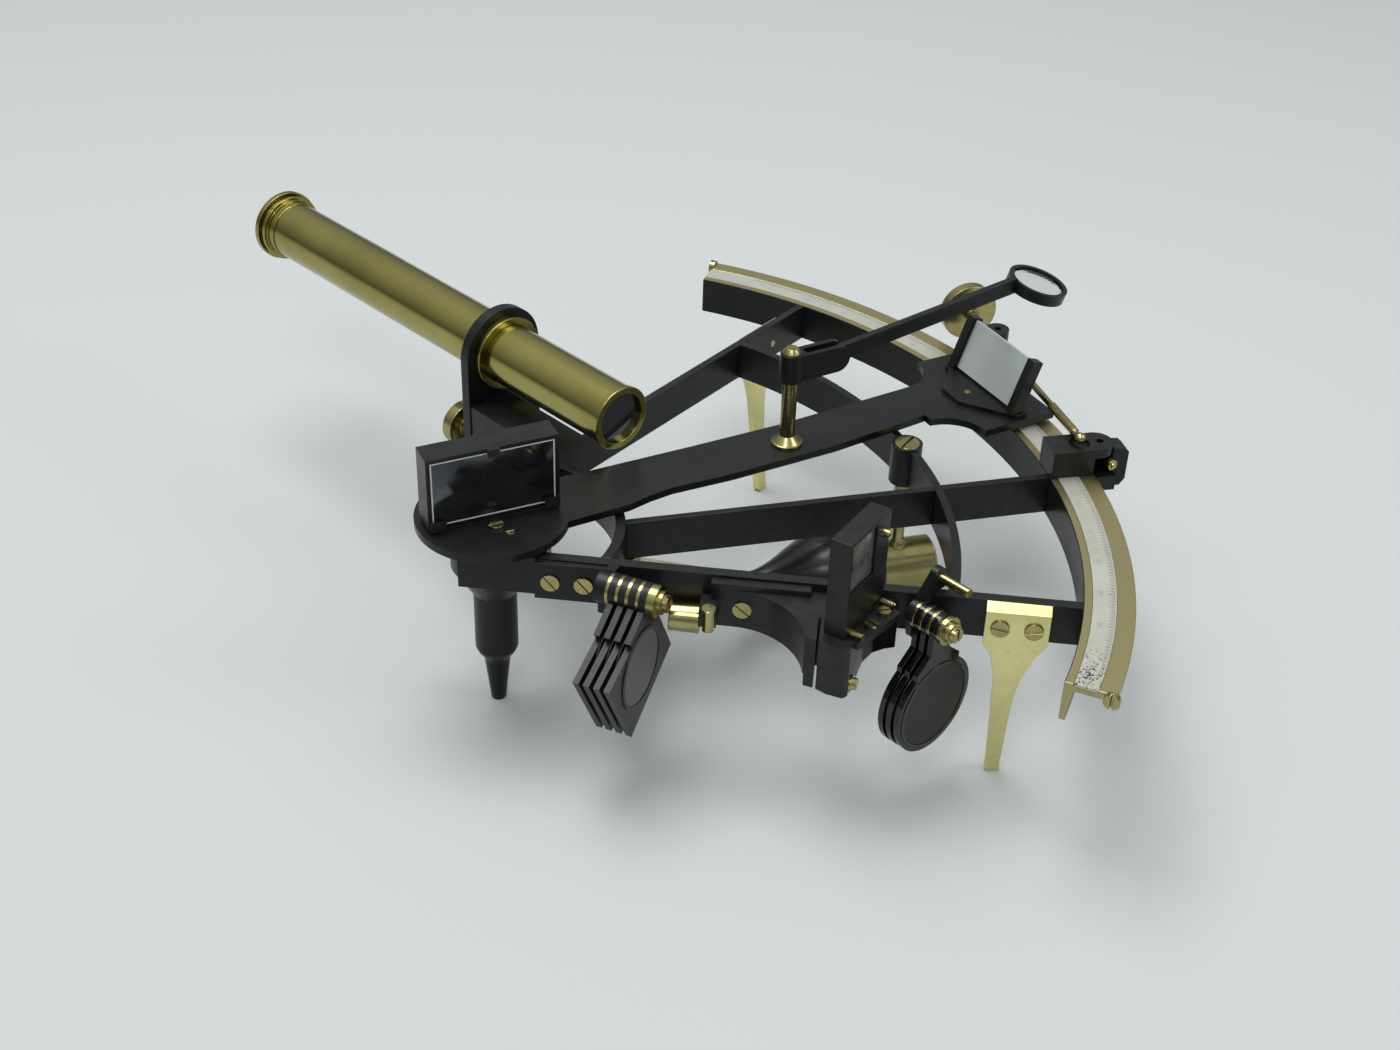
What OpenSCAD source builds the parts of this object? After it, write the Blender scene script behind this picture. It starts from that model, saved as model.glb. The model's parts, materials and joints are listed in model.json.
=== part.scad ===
// Brass sextant with a lacquered frame, resting on its centre foot and two legs.
// The origin is the foot's bottom on the index axis. X bisects the limb and Z points up.

/* [Frame] */
// Outer radius of the limb
limb_r = 204; // [198:1:212]
// Radial width of the limb
limb_w = 16; // [15:0.5:18]
// Azimuth of the limb's front end
limb_front_az = -46.1; // [-49:0.1:-44]
// Azimuth of the limb's back end
limb_back_az = 46.2; // [44:0.1:49]
// Thickness of the limb's top flange
flange_t = 2.8; // [2.2:0.1:3.4]
// Thickness of the bars of the frame
bar_t = 2.7; // [2.2:0.1:3.2]
// Depth of the bars of the frame
bar_h = 14; // [13:0.5:16]
// Height of the frame's top face above the ground
frame_top = 71; // [68:0.5:76]
// Width of the limb's rim outside the silver strip
rim_w = 5.9; // [5:0.1:6.4]
// Width of the silver strip
silver_w = 7.3; // [6:0.1:8]
// Depth of the silver strip in the flange
silver_t = 0.8; // [0.5:0.1:1.2]
// Azimuth of the front bar
front_az = -29.5; // [-31:0.1:-28]
// Distance of the front bar's inner face from the axis
front_off = 13.2; // [12.8:0.1:13.6]
// Thickness of the front bar
front_t = 3.6; // [3.2:0.1:4]
// Azimuth of the back bar
back_az = 29.3; // [28:0.1:31]
// Distance of the back bar's inner face from the axis
back_off = 11.1; // [10:0.1:12]
// Azimuth of the middle bar
mid_az = -9.2; // [-11:0.1:-8]
// Distance of the middle bar's centre from the axis
mid_off = 7.2; // [6:0.1:8.5]
// Inner radius of the outer arc brace
outer_arc_r = 147.3; // [144:0.1:150]
// Inner radius of the inner arc brace
inner_arc_r = 39.4; // [37:0.1:42]
// Radius of the centre boss
boss_r = 14.1; // [13:0.1:15]

/* [Centre foot] */
// Radius of the axis cover
cover_r = 7.2; // [6.8:0.1:7.8]
// Height of the axis cover's shoulder above the ground
cover_shoulder_z = 22.6; // [20:0.1:26]
// Height of the boss's lower end above the ground
boss_low_z = 45.3; // [43:0.1:48]
// Radius of the foot's tip
foot_tip_r = 2.5; // [2:0.1:3]

/* [Legs] */
// Width of a leg's top plate
leg_w = 20; // [17:0.5:23]
// Thickness of a leg
leg_t = 2.8; // [2.4:0.1:3]
// Distance from the limb to the middle of the front leg
front_leg_inset = 19.2; // [15:0.1:27]
// Distance from the limb to the middle of the back leg
back_leg_inset = 24.5; // [18:0.1:29]
// Inward lean of a leg in degrees
leg_lean = 6; // [4:0.5:7]

/* [Index arm] */
// Azimuth of the index arm at rest
arm_az = 5.9; // [4:0.1:8]
// Radius of the arm's centre disc
disc_r = 25; // [24:0.5:27]
// Thickness of the arm plate
arm_t = 2.6; // [2.2:0.1:3]
// Height of the arm plate's underside above the ground
arm_z = 72.5; // [72.2:0.1:73.2]
// Radius of the axle
axle_r = 5; // [4.5:0.1:5.5]
// Radius of the bearing collar between frame and arm
collar_r = 12; // [11:0.5:13]

/* [Index mirror] */
// Width of the index mirror's holder
mirror_w = 44; // [40:0.5:46]
// Height of the index mirror's holder
mirror_h = 26; // [24:0.5:28]
// Depth of the index mirror's holder
mirror_d = 9.4; // [8:0.1:10.5]
// Azimuth of the index mirror's long side
mirror_az = 1.9; // [0:0.1:4]
// Height of the optical axis above the ground
optic_z = 88; // [87:0.5:90]

/* [Magnifier] */
// Distance of the magnifier's pillar from the index axis
pillar_x = 107; // [104:0.5:110]
// Height of the pillar's shaft above the arm
pillar_h = 24.6; // [23:0.1:28]
// Radius of the pillar's shaft
pillar_r = 2.6; // [2.3:0.1:3]
// Azimuth of the magnifier's arm at rest
lens_az = 6.5; // [5:0.5:8]
// Distance from the pillar to the middle of the lens
lens_reach = 100.5; // [96:0.5:103]
// Outer radius of the lens ring
lens_ring_r = 10.8; // [10:0.1:12]
// Rise of the magnifier's arm in degrees
lens_rise = 7.5; // [6:0.5:9]

/* [Reflector] */
// Width of the ground glass
screen_w = 32; // [30:0.5:33]
// Height of the ground glass
screen_h = 18.6; // [17:0.1:20]
// Outward lean of the ground glass in degrees
screen_lean = 20; // [15:1:25]

/* [Clamp and tangent screw] */
// Azimuth of the clamp block at rest
clamp_az = -10.8; // [-12:0.1:-10]
// Radius of the tangent screw's rod
rod_r = 1.2; // [1:0.1:1.4]
// Radius of the tangent screw's knob
knob_r = 10.6; // [9.5:0.1:11.4]
// Height of the tangent screw's axis above the ground
rod_z = 83; // [83:0.1:84]

/* [Telescope] */
// Azimuth that the telescope points to
tel_az = -68.6; // [-69.5:0.1:-67.5]
// Distance of the telescope's axis from the index axis
tel_off = 55.7; // [54.5:0.1:57]
// Length of the telescope
tel_l = 197; // [190:1:205]
// Outer radius of the telescope's tube
tube_r = 10.75; // [10.4:0.05:10.9]
// Wall of the telescope's tube
tube_wall = 0.9; // [0.7:0.1:1.2]
// Distance of the carrying ring behind the telescope's front end
ring_pos = 61.8; // [60:0.1:64]
// Outer radius of the carrying ring
ring_r = 16; // [15:0.5:17]
// Thickness of the rising piece
riser_t = 4; // [3.5:0.1:4.5]
// Radius of the eyepiece's flange
eye_flange_r = 13.4; // [12.6:0.1:14.5]
// Radius of the clamp knob of the rising piece
riser_knob_r = 8.3; // [7.5:0.1:9]

/* [Horizon glass] */
// X of the middle of the horizon glass box
hbox_x = 88.7; // [88:0.1:89.5]
// Y of the middle of the horizon glass box
hbox_y = -82.2; // [-83:0.1:-81.5]
// Azimuth of the box's long side
hbox_az = 34.2; // [33:0.1:35.5]
// Width of the box
hbox_w = 24.4; // [23:0.1:25]
// Depth of the box
hbox_d = 7.2; // [6.8:0.1:8]
// Height of the box's top above the ground
hbox_top = 102.4; // [101:0.1:104]

/* [Shades] */
// Side of a square index shade
square_side = 34; // [31:0.5:35]
// Distance from the pivot to the middle of an index shade
square_reach = 23; // [22.5:0.1:25]
// Distance between index shades
square_pitch = 3.45; // [3.4:0.05:4]
// Outward swing of the resting index shades in degrees
square_rest = 16; // [14:0.5:20]
// Radius of a round horizon shade
round_r = 17; // [15:0.5:17.5]
// Distance from the pivot to the middle of a horizon shade
round_reach = 30; // [29:0.5:32]
// Distance between horizon shades
round_pitch = 3.2; // [3.1:0.1:3.3]
// Thickness of a shade plate
shade_t = 2; // [1.6:0.1:2.1]

/* [Handle] */
// Height of the handle's axis above the ground
grip_z = 20.2; // [19:0.1:22]
// Largest radius of the grip
grip_r = 16; // [15:0.1:16.5]
// Length of the grip
grip_l = 50; // [48:1:52]
// Azimuth of the handle's axis
grip_az = -8; // [-10:0.5:-6]
// Radius of the ferrule
ferrule_r = 9.5; // [9:0.1:10]
// Length of the ferrule
ferrule_l = 19; // [17:0.5:21]
// Azimuth of the handle's pillar, which stands under the outer arc brace
handle_az = -1.1; // [-1.6:0.1:-0.4]

/* [Fits] */
// Radial clearance of pivots that turn
run_fit = 0.05; // [0.03:0.01:0.08]
// Gap between faces that pass each other
pass_gap = 0.3; // [0.25:0.05:0.4]

/* [Hidden] */
$fn = 72;

black = [0.16, 0.17, 0.18];
brass = [0.78, 0.66, 0.32];
old_brass = [0.62, 0.55, 0.33];
silver = [0.86, 0.86, 0.80];
glass = [0.70, 0.78, 0.80];
steel = [0.60, 0.60, 0.62];

eps = 0.01;
far = 400;
frame_low = frame_top - bar_h;
limb_in = limb_r - limb_w;
arm_top = arm_z + arm_t;
front_out = front_off + front_t;
back_out = back_off + bar_t;
silver_r = limb_r - rim_w - silver_w;
front_leg_pos = sqrt(limb_in * limb_in - front_out * front_out) - front_leg_inset;
back_leg_pos = sqrt(limb_in * limb_in - back_out * back_out) - back_leg_inset;
handle_x = (outer_arc_r + bar_t / 2) * cos(handle_az);
handle_y = (outer_arc_r + bar_t / 2) * sin(handle_az);
boss_cavity_z = 51;
boss_bend_z = frame_low - 1;
screw_r = 3;
screw_shank_r = 1.4;
square_hub_r = 5.2;
round_hub_r = 4.6;
shade_glass_t = 1.75;
pivot_r = 1.6;
washer_t = 1;
side_play = 0.05;

// Places things in the frame of a bar: x runs along the bar and y to its left
module at_front() { rotate(front_az) children(); }
module at_back() { rotate(back_az) children(); }
module at_mid() { rotate(mid_az) children(); }
module at_arm() { rotate(arm_az) children(); }
module at_clamp() { rotate(clamp_az) children(); }
// x runs towards the objective, y to the left, and z is measured from the ground
module at_telescope() { rotate(tel_az) translate([0, tel_off, 0]) children(); }
// x runs along the box's width from its outer end, y through its depth
module at_hbox() {
    translate([hbox_x, hbox_y, 0]) rotate(hbox_az) translate([-hbox_w / 2, -hbox_d / 2, 0]) children();
}
module along_x() { rotate([0, 90, 0]) children(); }
module along_y() { rotate([-90, 0, 0]) children(); }
module box(low, high) { translate(low) cube(high - low); }

// A slotted screw whose head stands on z = 0 and whose shank goes down
module slotted_screw(head_r, head_h, shank_r, shank_l) {
    difference() {
        union() {
            cylinder(r = head_r, h = head_h);
            translate([0, 0, -shank_l]) cylinder(r = shank_r, h = shank_l + eps);
        }
        box([-head_r - 1, -0.35, head_h * 0.45], [head_r + 1, 0.35, head_h + 1]);
    }
}

// Frame

module ring_bar(r_low, r_high, z_low, z_high, az_low, az_high) {
    rotate(az_low) rotate_extrude(angle = az_high - az_low, $fn = 180)
        polygon([[r_low, z_low], [r_high, z_low], [r_high, z_high], [r_low, z_high]]);
}

// The wedge between the inner faces of the front and the back bar
module between_bars() {
    difference() {
        box([0, -far, 0], [far, far, frame_top + 1]);
        at_front() box([-far, -far, -1], [far, -front_off, frame_top + 2]);
        at_back() box([-far, back_off, -1], [far, far, frame_top + 2]);
    }
}

module limb() {
    web_t = 1.9;
    web_root_t = 3.2;
    color(old_brass) rotate(limb_front_az)
        rotate_extrude(angle = limb_back_az - limb_front_az, $fn = 180)
            polygon([
                [limb_in, frame_low], [limb_in + web_t, frame_low],
                [limb_in + web_root_t, frame_top - flange_t], [limb_r, frame_top - flange_t],
                [limb_r, frame_top], [silver_r + silver_w, frame_top],
                [silver_r + silver_w, frame_top - silver_t], [silver_r, frame_top - silver_t],
                [silver_r, frame_top], [limb_in, frame_top]
            ]);
}

module silver_scale() {
    color(silver)
        ring_bar(silver_r, silver_r + silver_w, frame_top - silver_t, frame_top,
            limb_front_az, limb_back_az);
}

module front_bar(grow = 0) {
    at_front() box([-8, -front_out - grow, frame_low - grow], [far, -front_off, frame_top + grow]);
}

module back_bar() {
    at_back() box([-8, back_off, frame_low], [far, back_out, frame_top]);
}

leg_screw_dx = 5.2;
leg_screw_z = frame_top - 8.4;
shade_screw_x = [22.1, 32.7];
shade_screw_z = 63.5;
hbracket_screw_x = [83];
hbracket_screw_z = 61;

module front_radial() {
    color(black) difference() {
        intersection() {
            front_bar();
            cylinder(r = limb_in, h = far, $fn = 180);
        }
        front_leg_holes();
        at_front() {
            for (x = shade_screw_x) translate([x, -front_out - 1, shade_screw_z]) bore_y(screw_shank_r);
            for (x = hbracket_screw_x)
                translate([x, -front_out - 1, hbracket_screw_z]) bore_y(screw_shank_r);
        }
    }
}

module bore_y(r) { along_y() cylinder(r = r + run_fit, h = front_t + 2); }

module front_leg_holes() {
    at_front() for (s = [-1, 1])
        translate([front_leg_pos + s * leg_screw_dx, -front_out - 1, leg_screw_z]) bore_y(screw_shank_r);
}

module back_radial() {
    color(black) difference() {
        intersection() {
            back_bar();
            cylinder(r = limb_in, h = far, $fn = 180);
        }
        at_back() for (s = [-1, 1])
            translate([back_leg_pos + s * leg_screw_dx, back_off - 1, leg_screw_z]) bore_y(screw_shank_r);
    }
}

module mid_radial() {
    color(black) difference() {
        intersection() {
            at_mid() box([0, -mid_off - bar_t / 2, frame_low], [far, -mid_off + bar_t / 2, frame_top]);
            cylinder(r = limb_in, h = far, $fn = 180);
        }
        cylinder(r = inner_arc_r + inner_arc_t, h = far, $fn = 180);
        difference() {
            cylinder(r = outer_arc_r + bar_t, h = far, $fn = 180);
            translate([0, 0, -1]) cylinder(r = outer_arc_r, h = far + 2, $fn = 180);
        }
    }
}

inner_arc_t = 3.4;
handle_boss_r = 5.4;
handle_shank_r = 1.9;
handle_head_r = 4.4;
handle_head_z = frame_top - 0.7;
handle_boss_z = frame_low - 0.4;

module outer_arc_brace() {
    color(black) difference() {
        union() {
            intersection() {
                ring_bar(outer_arc_r, outer_arc_r + bar_t, frame_low, frame_top, -60, 60);
                between_bars();
            }
            translate([handle_x, handle_y, handle_boss_z]) cylinder(r = handle_boss_r, h = bar_h + 0.9);
        }
        translate([handle_x, handle_y, frame_low - 1]) cylinder(r = handle_shank_r + run_fit, h = far);
        translate([handle_x, handle_y, handle_head_z]) cylinder(r = handle_head_r + run_fit, h = far);
    }
}

module inner_arc_brace() {
    color(black) intersection() {
        ring_bar(inner_arc_r, inner_arc_r + inner_arc_t, frame_low, frame_top, -60, 60);
        between_bars();
    }
}

module frame_boss() {
    cheek_l = 20;
    color(black) difference() {
        union() {
            rotate_extrude() polygon([
                [0, boss_low_z], [cover_r + 0.4, boss_low_z], [boss_r, boss_bend_z], [boss_r, frame_top],
                [collar_r, frame_top], [collar_r, arm_z], [0, arm_z]
            ]);
            at_front() box([-6, -front_off, frame_low], [cheek_l, -5, frame_top]);
            at_back() box([-6, 5, frame_low], [cheek_l, back_off, frame_top]);
        }
        front_bar(0.2);
        at_back() box([-8, back_off, frame_low - 0.2], [far, boss_r + 1, frame_top + 0.2]);
        translate([0, 0, boss_low_z - 1]) cylinder(r = axle_r + run_fit, h = far);
        translate([0, 0, boss_low_z - 1]) cylinder(r = cover_r - 0.8, h = boss_cavity_z - boss_low_z + 1);
    }
}

module axis_cover() {
    foot_root_r = 4.5;
    cavity_r = 5;
    color(black) difference() {
        rotate_extrude() polygon([
            [0, 0], [foot_tip_r, 0], [foot_root_r, 18], [cover_r - 0.8, cover_shoulder_z - 2],
            [cover_r, cover_shoulder_z], [cover_r, boss_low_z], [0, boss_low_z]
        ]);
        translate([0, 0, cover_shoulder_z + 2]) cylinder(r = cavity_r, h = far);
    }
}

// A leg in the frame of its bar, standing on the side y = 0 and pointing to -y
module leg() {
    shank_top = frame_low - 8.5;
    bend_z = frame_low;
    bevel = 2.5;
    tip_r = 2.5;
    tip_z = 2.2;
    lean_y = bend_z * tan(leg_lean);
    difference() {
        intersection() {
            rotate([90, 0, 90]) translate([0, 0, -leg_w]) linear_extrude(2 * leg_w) polygon([
                [0, bend_z], [0, frame_top], [-leg_t + bevel, frame_top], [-leg_t, frame_top - bevel],
                [-leg_t, bend_z - leg_t * tan(leg_lean / 2)], [lean_y - leg_t / cos(leg_lean), 0],
                [lean_y, 0]
            ]);
            union() {
                translate([0, 10, 0]) rotate([90, 0, 0]) linear_extrude(20) polygon([
                    [-leg_w / 2, frame_top + 1], [-leg_w / 2, bend_z], [-leg_w / 2 + 0.3, bend_z - 1.5],
                    [-leg_w / 2 + 2.6, bend_z - 4.5], [-6.4, shank_top], [-5, shank_top - 6.5],
                    [-3.3, 2.9], [1.3, 2.9], [2, shank_top - 18.5], [2.8, shank_top - 10.5],
                    [4.4, shank_top - 3.5], [leg_w / 2 - 3, bend_z - 4.5], [leg_w / 2, bend_z],
                    [leg_w / 2, frame_top + 1]
                ]);
                translate([-1, -10, tip_z]) along_y() cylinder(r = tip_r, h = 20);
            }
        }
        for (s = [-1, 1]) translate([s * leg_screw_dx, -leg_t - 1, leg_screw_z])
            along_y() cylinder(r = screw_shank_r + run_fit, h = leg_t + 2);
    }
}

module front_leg() {
    color(brass) at_front() translate([front_leg_pos, -front_out, 0]) leg();
}

module back_leg() {
    color(brass) at_back() translate([back_leg_pos, back_out, 0]) mirror([0, 1, 0]) leg();
}

module leg_screws() {
    color(brass) {
        at_front() for (s = [-1, 1])
            translate([front_leg_pos + s * leg_screw_dx, -front_out - leg_t, leg_screw_z])
                rotate([90, 0, 0]) rotate(10 * s)
                    slotted_screw(screw_r, 0.8, screw_shank_r, leg_t + front_t);
        at_back() for (s = [-1, 1])
            translate([back_leg_pos + s * leg_screw_dx, back_out + leg_t, leg_screw_z])
                rotate([-90, 0, 0]) rotate(25 * s) slotted_screw(screw_r, 0.8, screw_shank_r, leg_t + bar_t);
    }
}

// Screws in the limb's end faces, which stop the clamp
module stop_screws() {
    stop_r = limb_r - 1.4;
    head_r = 2.6;
    head_h = 2.2;
    color(old_brass) {
        rotate(limb_front_az) translate([stop_r, 0, frame_top - flange_t / 2])
            rotate([90, 0, 0]) rotate(90) slotted_screw(head_r, head_h, 1.1, 0);
        rotate(limb_back_az) translate([stop_r, 0, frame_top - flange_t / 2])
            rotate([-90, 0, 0]) rotate(80) slotted_screw(head_r, head_h, 1.1, 0);
    }
}

// Telescope bracket and rising piece

bracket_low = -15.5;
bracket_high = 1.5;
knob_lat = -9;
knob_z = 56;
knob_shank_r = 2;
rise_up = 9;
rise_down = 1;
pad_low = frame_low - 9;

module telescope_bracket() {
    color(black) difference() {
        at_telescope() {
            box([-ring_pos, bracket_low, frame_low], [40, bracket_high, frame_top]);
            box([-ring_pos, bracket_low, pad_low], [-ring_pos + 9, bracket_high, frame_top]);
        }
        at_back() box([-far, -far, -1], [far, back_out, far]);
        at_telescope() {
            box([-ring_pos + 13, bracket_low + 3, frame_low - 1], [-28, bracket_high - 3, frame_top - 3]);
            translate([-ring_pos - 1, knob_lat, knob_z])
                along_x() cylinder(r = knob_shank_r + run_fit, h = 11);
        }
    }
}

module telescope_riser() {
    collar_hole_r = 12.6;
    slot_w = 2 * (knob_shank_r + pass_gap);
    riser_low = knob_z - knob_shank_r - rise_up - pass_gap - 3;
    color(black) at_telescope() translate([-ring_pos - riser_t, 0, 0]) difference() {
        union() {
            translate([0, 0, optic_z]) along_x() cylinder(r = ring_r, h = riser_t);
            box([0, -ring_r, riser_low], [riser_t, ring_r, optic_z]);
        }
        translate([-1, 0, optic_z]) along_x() cylinder(r = collar_hole_r, h = riser_t + 2);
        box([-1, knob_lat - slot_w / 2, knob_z - rise_up],
            [riser_t + 1, knob_lat + slot_w / 2, knob_z + rise_down]);
        translate([-1, knob_lat, knob_z - rise_up]) along_x() cylinder(r = slot_w / 2, h = riser_t + 2);
        translate([-1, knob_lat, knob_z + rise_down]) along_x() cylinder(r = slot_w / 2, h = riser_t + 2);
    }
}

module telescope_collar() {
    color(brass) at_telescope() translate([-ring_pos, 0, optic_z]) along_x() difference() {
        union() {
            translate([0, 0, -riser_t]) cylinder(r = 12.6, h = riser_t);
            cylinder(r = 13.4, h = 3);
            translate([0, 0, -riser_t - 1.5]) cylinder(r = 13.2, h = 1.5);
        }
        translate([0, 0, -far / 2]) cylinder(r = tube_r, h = far);
    }
}

tube_in_r = tube_r - tube_wall;
objective_r = tube_in_r - 0.85;
cell_l = 1.8;
cell_lip = 0.5;
objective_set = 3.5;
eye_l = 9;

module telescope_tube() {
    color(brass) at_telescope() translate([0, 0, optic_z]) along_x() difference() {
        translate([0, 0, -tel_l + eye_l]) cylinder(r = tube_r, h = tel_l - eye_l - cell_l);
        translate([0, 0, -tel_l]) cylinder(r = tube_in_r, h = tel_l + 1);
    }
}

module objective_cell() {
    color(brass) at_telescope() translate([0, 0, optic_z]) along_x() difference() {
        union() {
            translate([0, 0, -cell_l]) cylinder(r = tube_r + cell_lip, h = cell_l);
            translate([0, 0, -cell_l - 9]) cylinder(r = tube_in_r, h = 10);
        }
        translate([0, 0, -cell_l - 10]) cylinder(r = objective_r - 0.8, h = 20);
        translate([0, 0, -objective_set]) cylinder(r = objective_r, h = 10);
    }
}

module objective_lens() {
    color(glass) at_telescope() translate([-objective_set, 0, optic_z])
        along_x() cylinder(r = objective_r, h = 1.6);
}

module eyepiece_tube() {
    draw_r = tube_in_r - run_fit;
    color(brass) at_telescope() translate([-tel_l, 0, optic_z]) along_x() difference() {
        union() {
            cylinder(r = eye_flange_r, h = 2.2);
            translate([0, 0, 2.2]) cylinder(r = eye_flange_r - 2, h = 1.6);
            translate([0, 0, 3.8]) cylinder(r = eye_flange_r - 0.8, h = 1.4);
            translate([0, 0, 5.2]) cylinder(r = eye_flange_r - 2.2, h = eye_l - 5.2);
            cylinder(r = draw_r, h = 48);
        }
        translate([0, 0, 8]) cylinder(r = draw_r - 1, h = 50);
        translate([0, 0, -1]) cylinder(r = 6, h = 20);
        translate([0, 0, -1]) cylinder(r1 = 10.5, r2 = 6, h = 3);
    }
}

module eyepiece_lens() {
    color(glass) at_telescope() translate([-tel_l + 4, 0, optic_z]) along_x() cylinder(r = 6, h = 2);
}

module riser_knob() {
    knob_t = 4.5;
    neck_l = 6.5;
    color(brass) at_telescope() translate([-ring_pos - riser_t, knob_lat, knob_z]) along_x() {
        translate([0, 0, -neck_l]) cylinder(r = 3.6, h = neck_l);
        difference() {
            translate([0, 0, -neck_l - knob_t]) cylinder(r = riser_knob_r, h = knob_t);
            translate([0, 0, -neck_l - knob_t - 1]) cylinder(r = riser_knob_r - 2.4, h = 2);
        }
        translate([0, 0, -eps]) cylinder(r = knob_shank_r, h = riser_t + 9);
    }
}

// Index arm

module arm_axle() {
    washer_z = 49.6;
    color(steel) {
        translate([0, 0, washer_z]) cylinder(r = axle_r, h = arm_z - washer_z);
        translate([0, 0, arm_z]) cylinder(r = 8, h = 1.4);
        translate([0, 0, washer_z - 1.3]) cylinder(r = 6, h = 1.3);
        translate([0, 0, boss_cavity_z - 0.6]) washer();
        translate([0, 0, washer_z - 2.8]) cylinder(r = 3, h = 1.5);
    }
}

module washer() {
    difference() {
        cylinder(r = 6.1, h = 0.5);
        translate([0, 0, -1]) cylinder(r = axle_r - 0.2, h = 3);
    }
}

arm_end_x = limb_r - 11.5;
lug_x = limb_r + 5;
plate_x = arm_end_x - 26.5;
foot_x = arm_end_x + 10;

module arm_outline() {
    difference() {
        union() {
            polygon([
                [0, 12], [38, 8.8], [76, 7.5], [111, 6.8], [143, 8], [plate_x, 9], [plate_x, -9.6],
                [121, -13.5], [81, -13.7], [58.7, -12.4], [50, -13.3], [41.8, -15.1], [0, -15.5]
            ]);
            polygon([
                [plate_x - 1, 9], [plate_x - 1, 22.6], [arm_end_x, 22.6], [arm_end_x, -28],
                [plate_x - 6, -28], [plate_x - 6, -9]
            ]);
            polygon([[arm_end_x - 1, 22.6], [lug_x, 22.6], [lug_x, 11.5], [arm_end_x - 1, 10]]);
            polygon([[arm_end_x - 1, -14], [foot_x, -14], [foot_x, -28], [arm_end_x - 1, -28]]);
        }
        translate([plate_x - 1, 22.5]) circle(r = 13.5);
        translate([plate_x - 7, -27.5]) circle(r = 14);
    }
}

module index_arm() {
    color(black) at_arm() difference() {
        union() {
            translate([0, 0, arm_z]) cylinder(r = disc_r, h = arm_t);
            translate([0, 0, arm_z]) linear_extrude(arm_t) arm_outline();
        }
        translate([0, 0, arm_z - 1]) cylinder(r = 8, h = 2.4);
        translate([pillar_x - 0.4, pillar_y, arm_z - 1]) cylinder(r = 1.6, h = 10);
    }
}

pillar_y = -4.8;
pillar_foot_h = 3.6;
pillar_top = arm_top + pillar_h;
hub_h = 10.3;
pin_r = 1.8;

module magnifier_pillar() {
    color(brass) at_arm() translate([pillar_x - 0.4, pillar_y, 0]) {
        translate([0, 0, arm_top]) cylinder(r = 5.3, h = 1.2);
        translate([0, 0, arm_top + 1.2]) cylinder(r1 = 5, r2 = pillar_r, h = pillar_foot_h - 1.2);
        translate([0, 0, arm_top]) cylinder(r = pillar_r, h = pillar_h);
        translate([0, 0, arm_z + 0.2]) cylinder(r = 1.6, h = 4);
        translate([0, 0, pillar_top - eps]) cylinder(r = pin_r, h = hub_h + 2 * pass_gap + eps);
        translate([0, 0, pillar_top + hub_h + pass_gap]) cylinder(r1 = 3.3, r2 = 2, h = 1.8);
    }
}

// The magnifier's own frame: origin on the pillar's axis, x towards the lens
module at_magnifier() {
    at_arm() translate([pillar_x - 0.4, pillar_y, 0]) rotate(lens_az - arm_az) children();
}

fork_end = 19.5;
fork_low = pillar_top + 0.6;
fork_h = 9.4;
fork_w = 6.6;
fork_slot_w = 3;
tilt_x = 12;
tilt_z = pillar_top + 5;
tilt_pin_r = 0.9;

module magnifier_hub() {
    color(black) at_magnifier() {
        difference() {
            union() {
                translate([0, 0, pillar_top + 0.15]) cylinder(r = 3.9, h = hub_h);
                box([0, -fork_w / 2, fork_low], [fork_end - 3, fork_w / 2, fork_low + fork_h]);
                translate([fork_end - 3, fork_w / 2, fork_low + fork_h / 2])
                    rotate([90, 0, 0]) cylinder(r = fork_h / 2, h = fork_w);
            }
            box([5, -fork_slot_w / 2, 0], [far, fork_slot_w / 2, far]);
            translate([0, 0, pillar_top - 1]) cylinder(r = pin_r + run_fit, h = 20);
            translate([tilt_x, -fork_w, tilt_z]) along_y()
                cylinder(r = tilt_pin_r + run_fit, h = 2 * fork_w);
        }
        translate([tilt_x, -fork_w / 2, tilt_z]) along_y() cylinder(r = tilt_pin_r, h = fork_w);
    }
}

strip_t = 2.4;
strip_h = 5.4;

// The tilting arm's own frame: origin on its pin, x along the strip
module at_tilt() {
    at_magnifier() translate([tilt_x, 0, tilt_z]) rotate([0, -lens_rise, 0]) children();
}

ring_h = 4;
ring_dip = 14;
ring_roll = 8;
ring_wall = 1.6;
strip_l = (lens_reach - tilt_x - lens_ring_r * cos(ring_dip)) / cos(lens_rise);

// The lens frame: origin in the middle of the lens, which dips towards its outer end
module at_lens() {
    at_tilt() translate([strip_l, 0, 0]) rotate([0, lens_rise + ring_dip, 0]) translate([lens_ring_r, 0, 0])
        rotate([ring_roll, 0, 0]) children();
}

module magnifier_arm() {
    color(black) difference() {
        union() {
            at_tilt() translate([0, strip_t / 2, 0]) rotate([90, 0, 0])
                cylinder(r = strip_h / 2, h = strip_t);
            at_tilt() box([0, -strip_t / 2, -strip_h / 2], [strip_l + 1, strip_t / 2, strip_h / 2]);
            at_lens() translate([0, 0, -ring_h / 2]) cylinder(r = lens_ring_r, h = ring_h);
        }
        at_tilt() translate([0, -5, 0]) along_y() cylinder(r = tilt_pin_r + run_fit, h = 10);
        at_lens() translate([0, 0, -3 * ring_h]) cylinder(r = lens_ring_r - ring_wall, h = 6 * ring_h);
    }
}

module magnifier_lens() {
    color(glass) at_lens() translate([0, 0, -1.4]) cylinder(r = lens_ring_r - ring_wall, h = 2.8);
}

module at_mirror() { rotate(mirror_az) translate([-0.5, 0.3, 0]) children(); }

mirror_low = arm_top + 1;
mirror_wall = 1.4;
mirror_front = -mirror_d / 2;
mirror_glass_t = 2.4;

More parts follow.
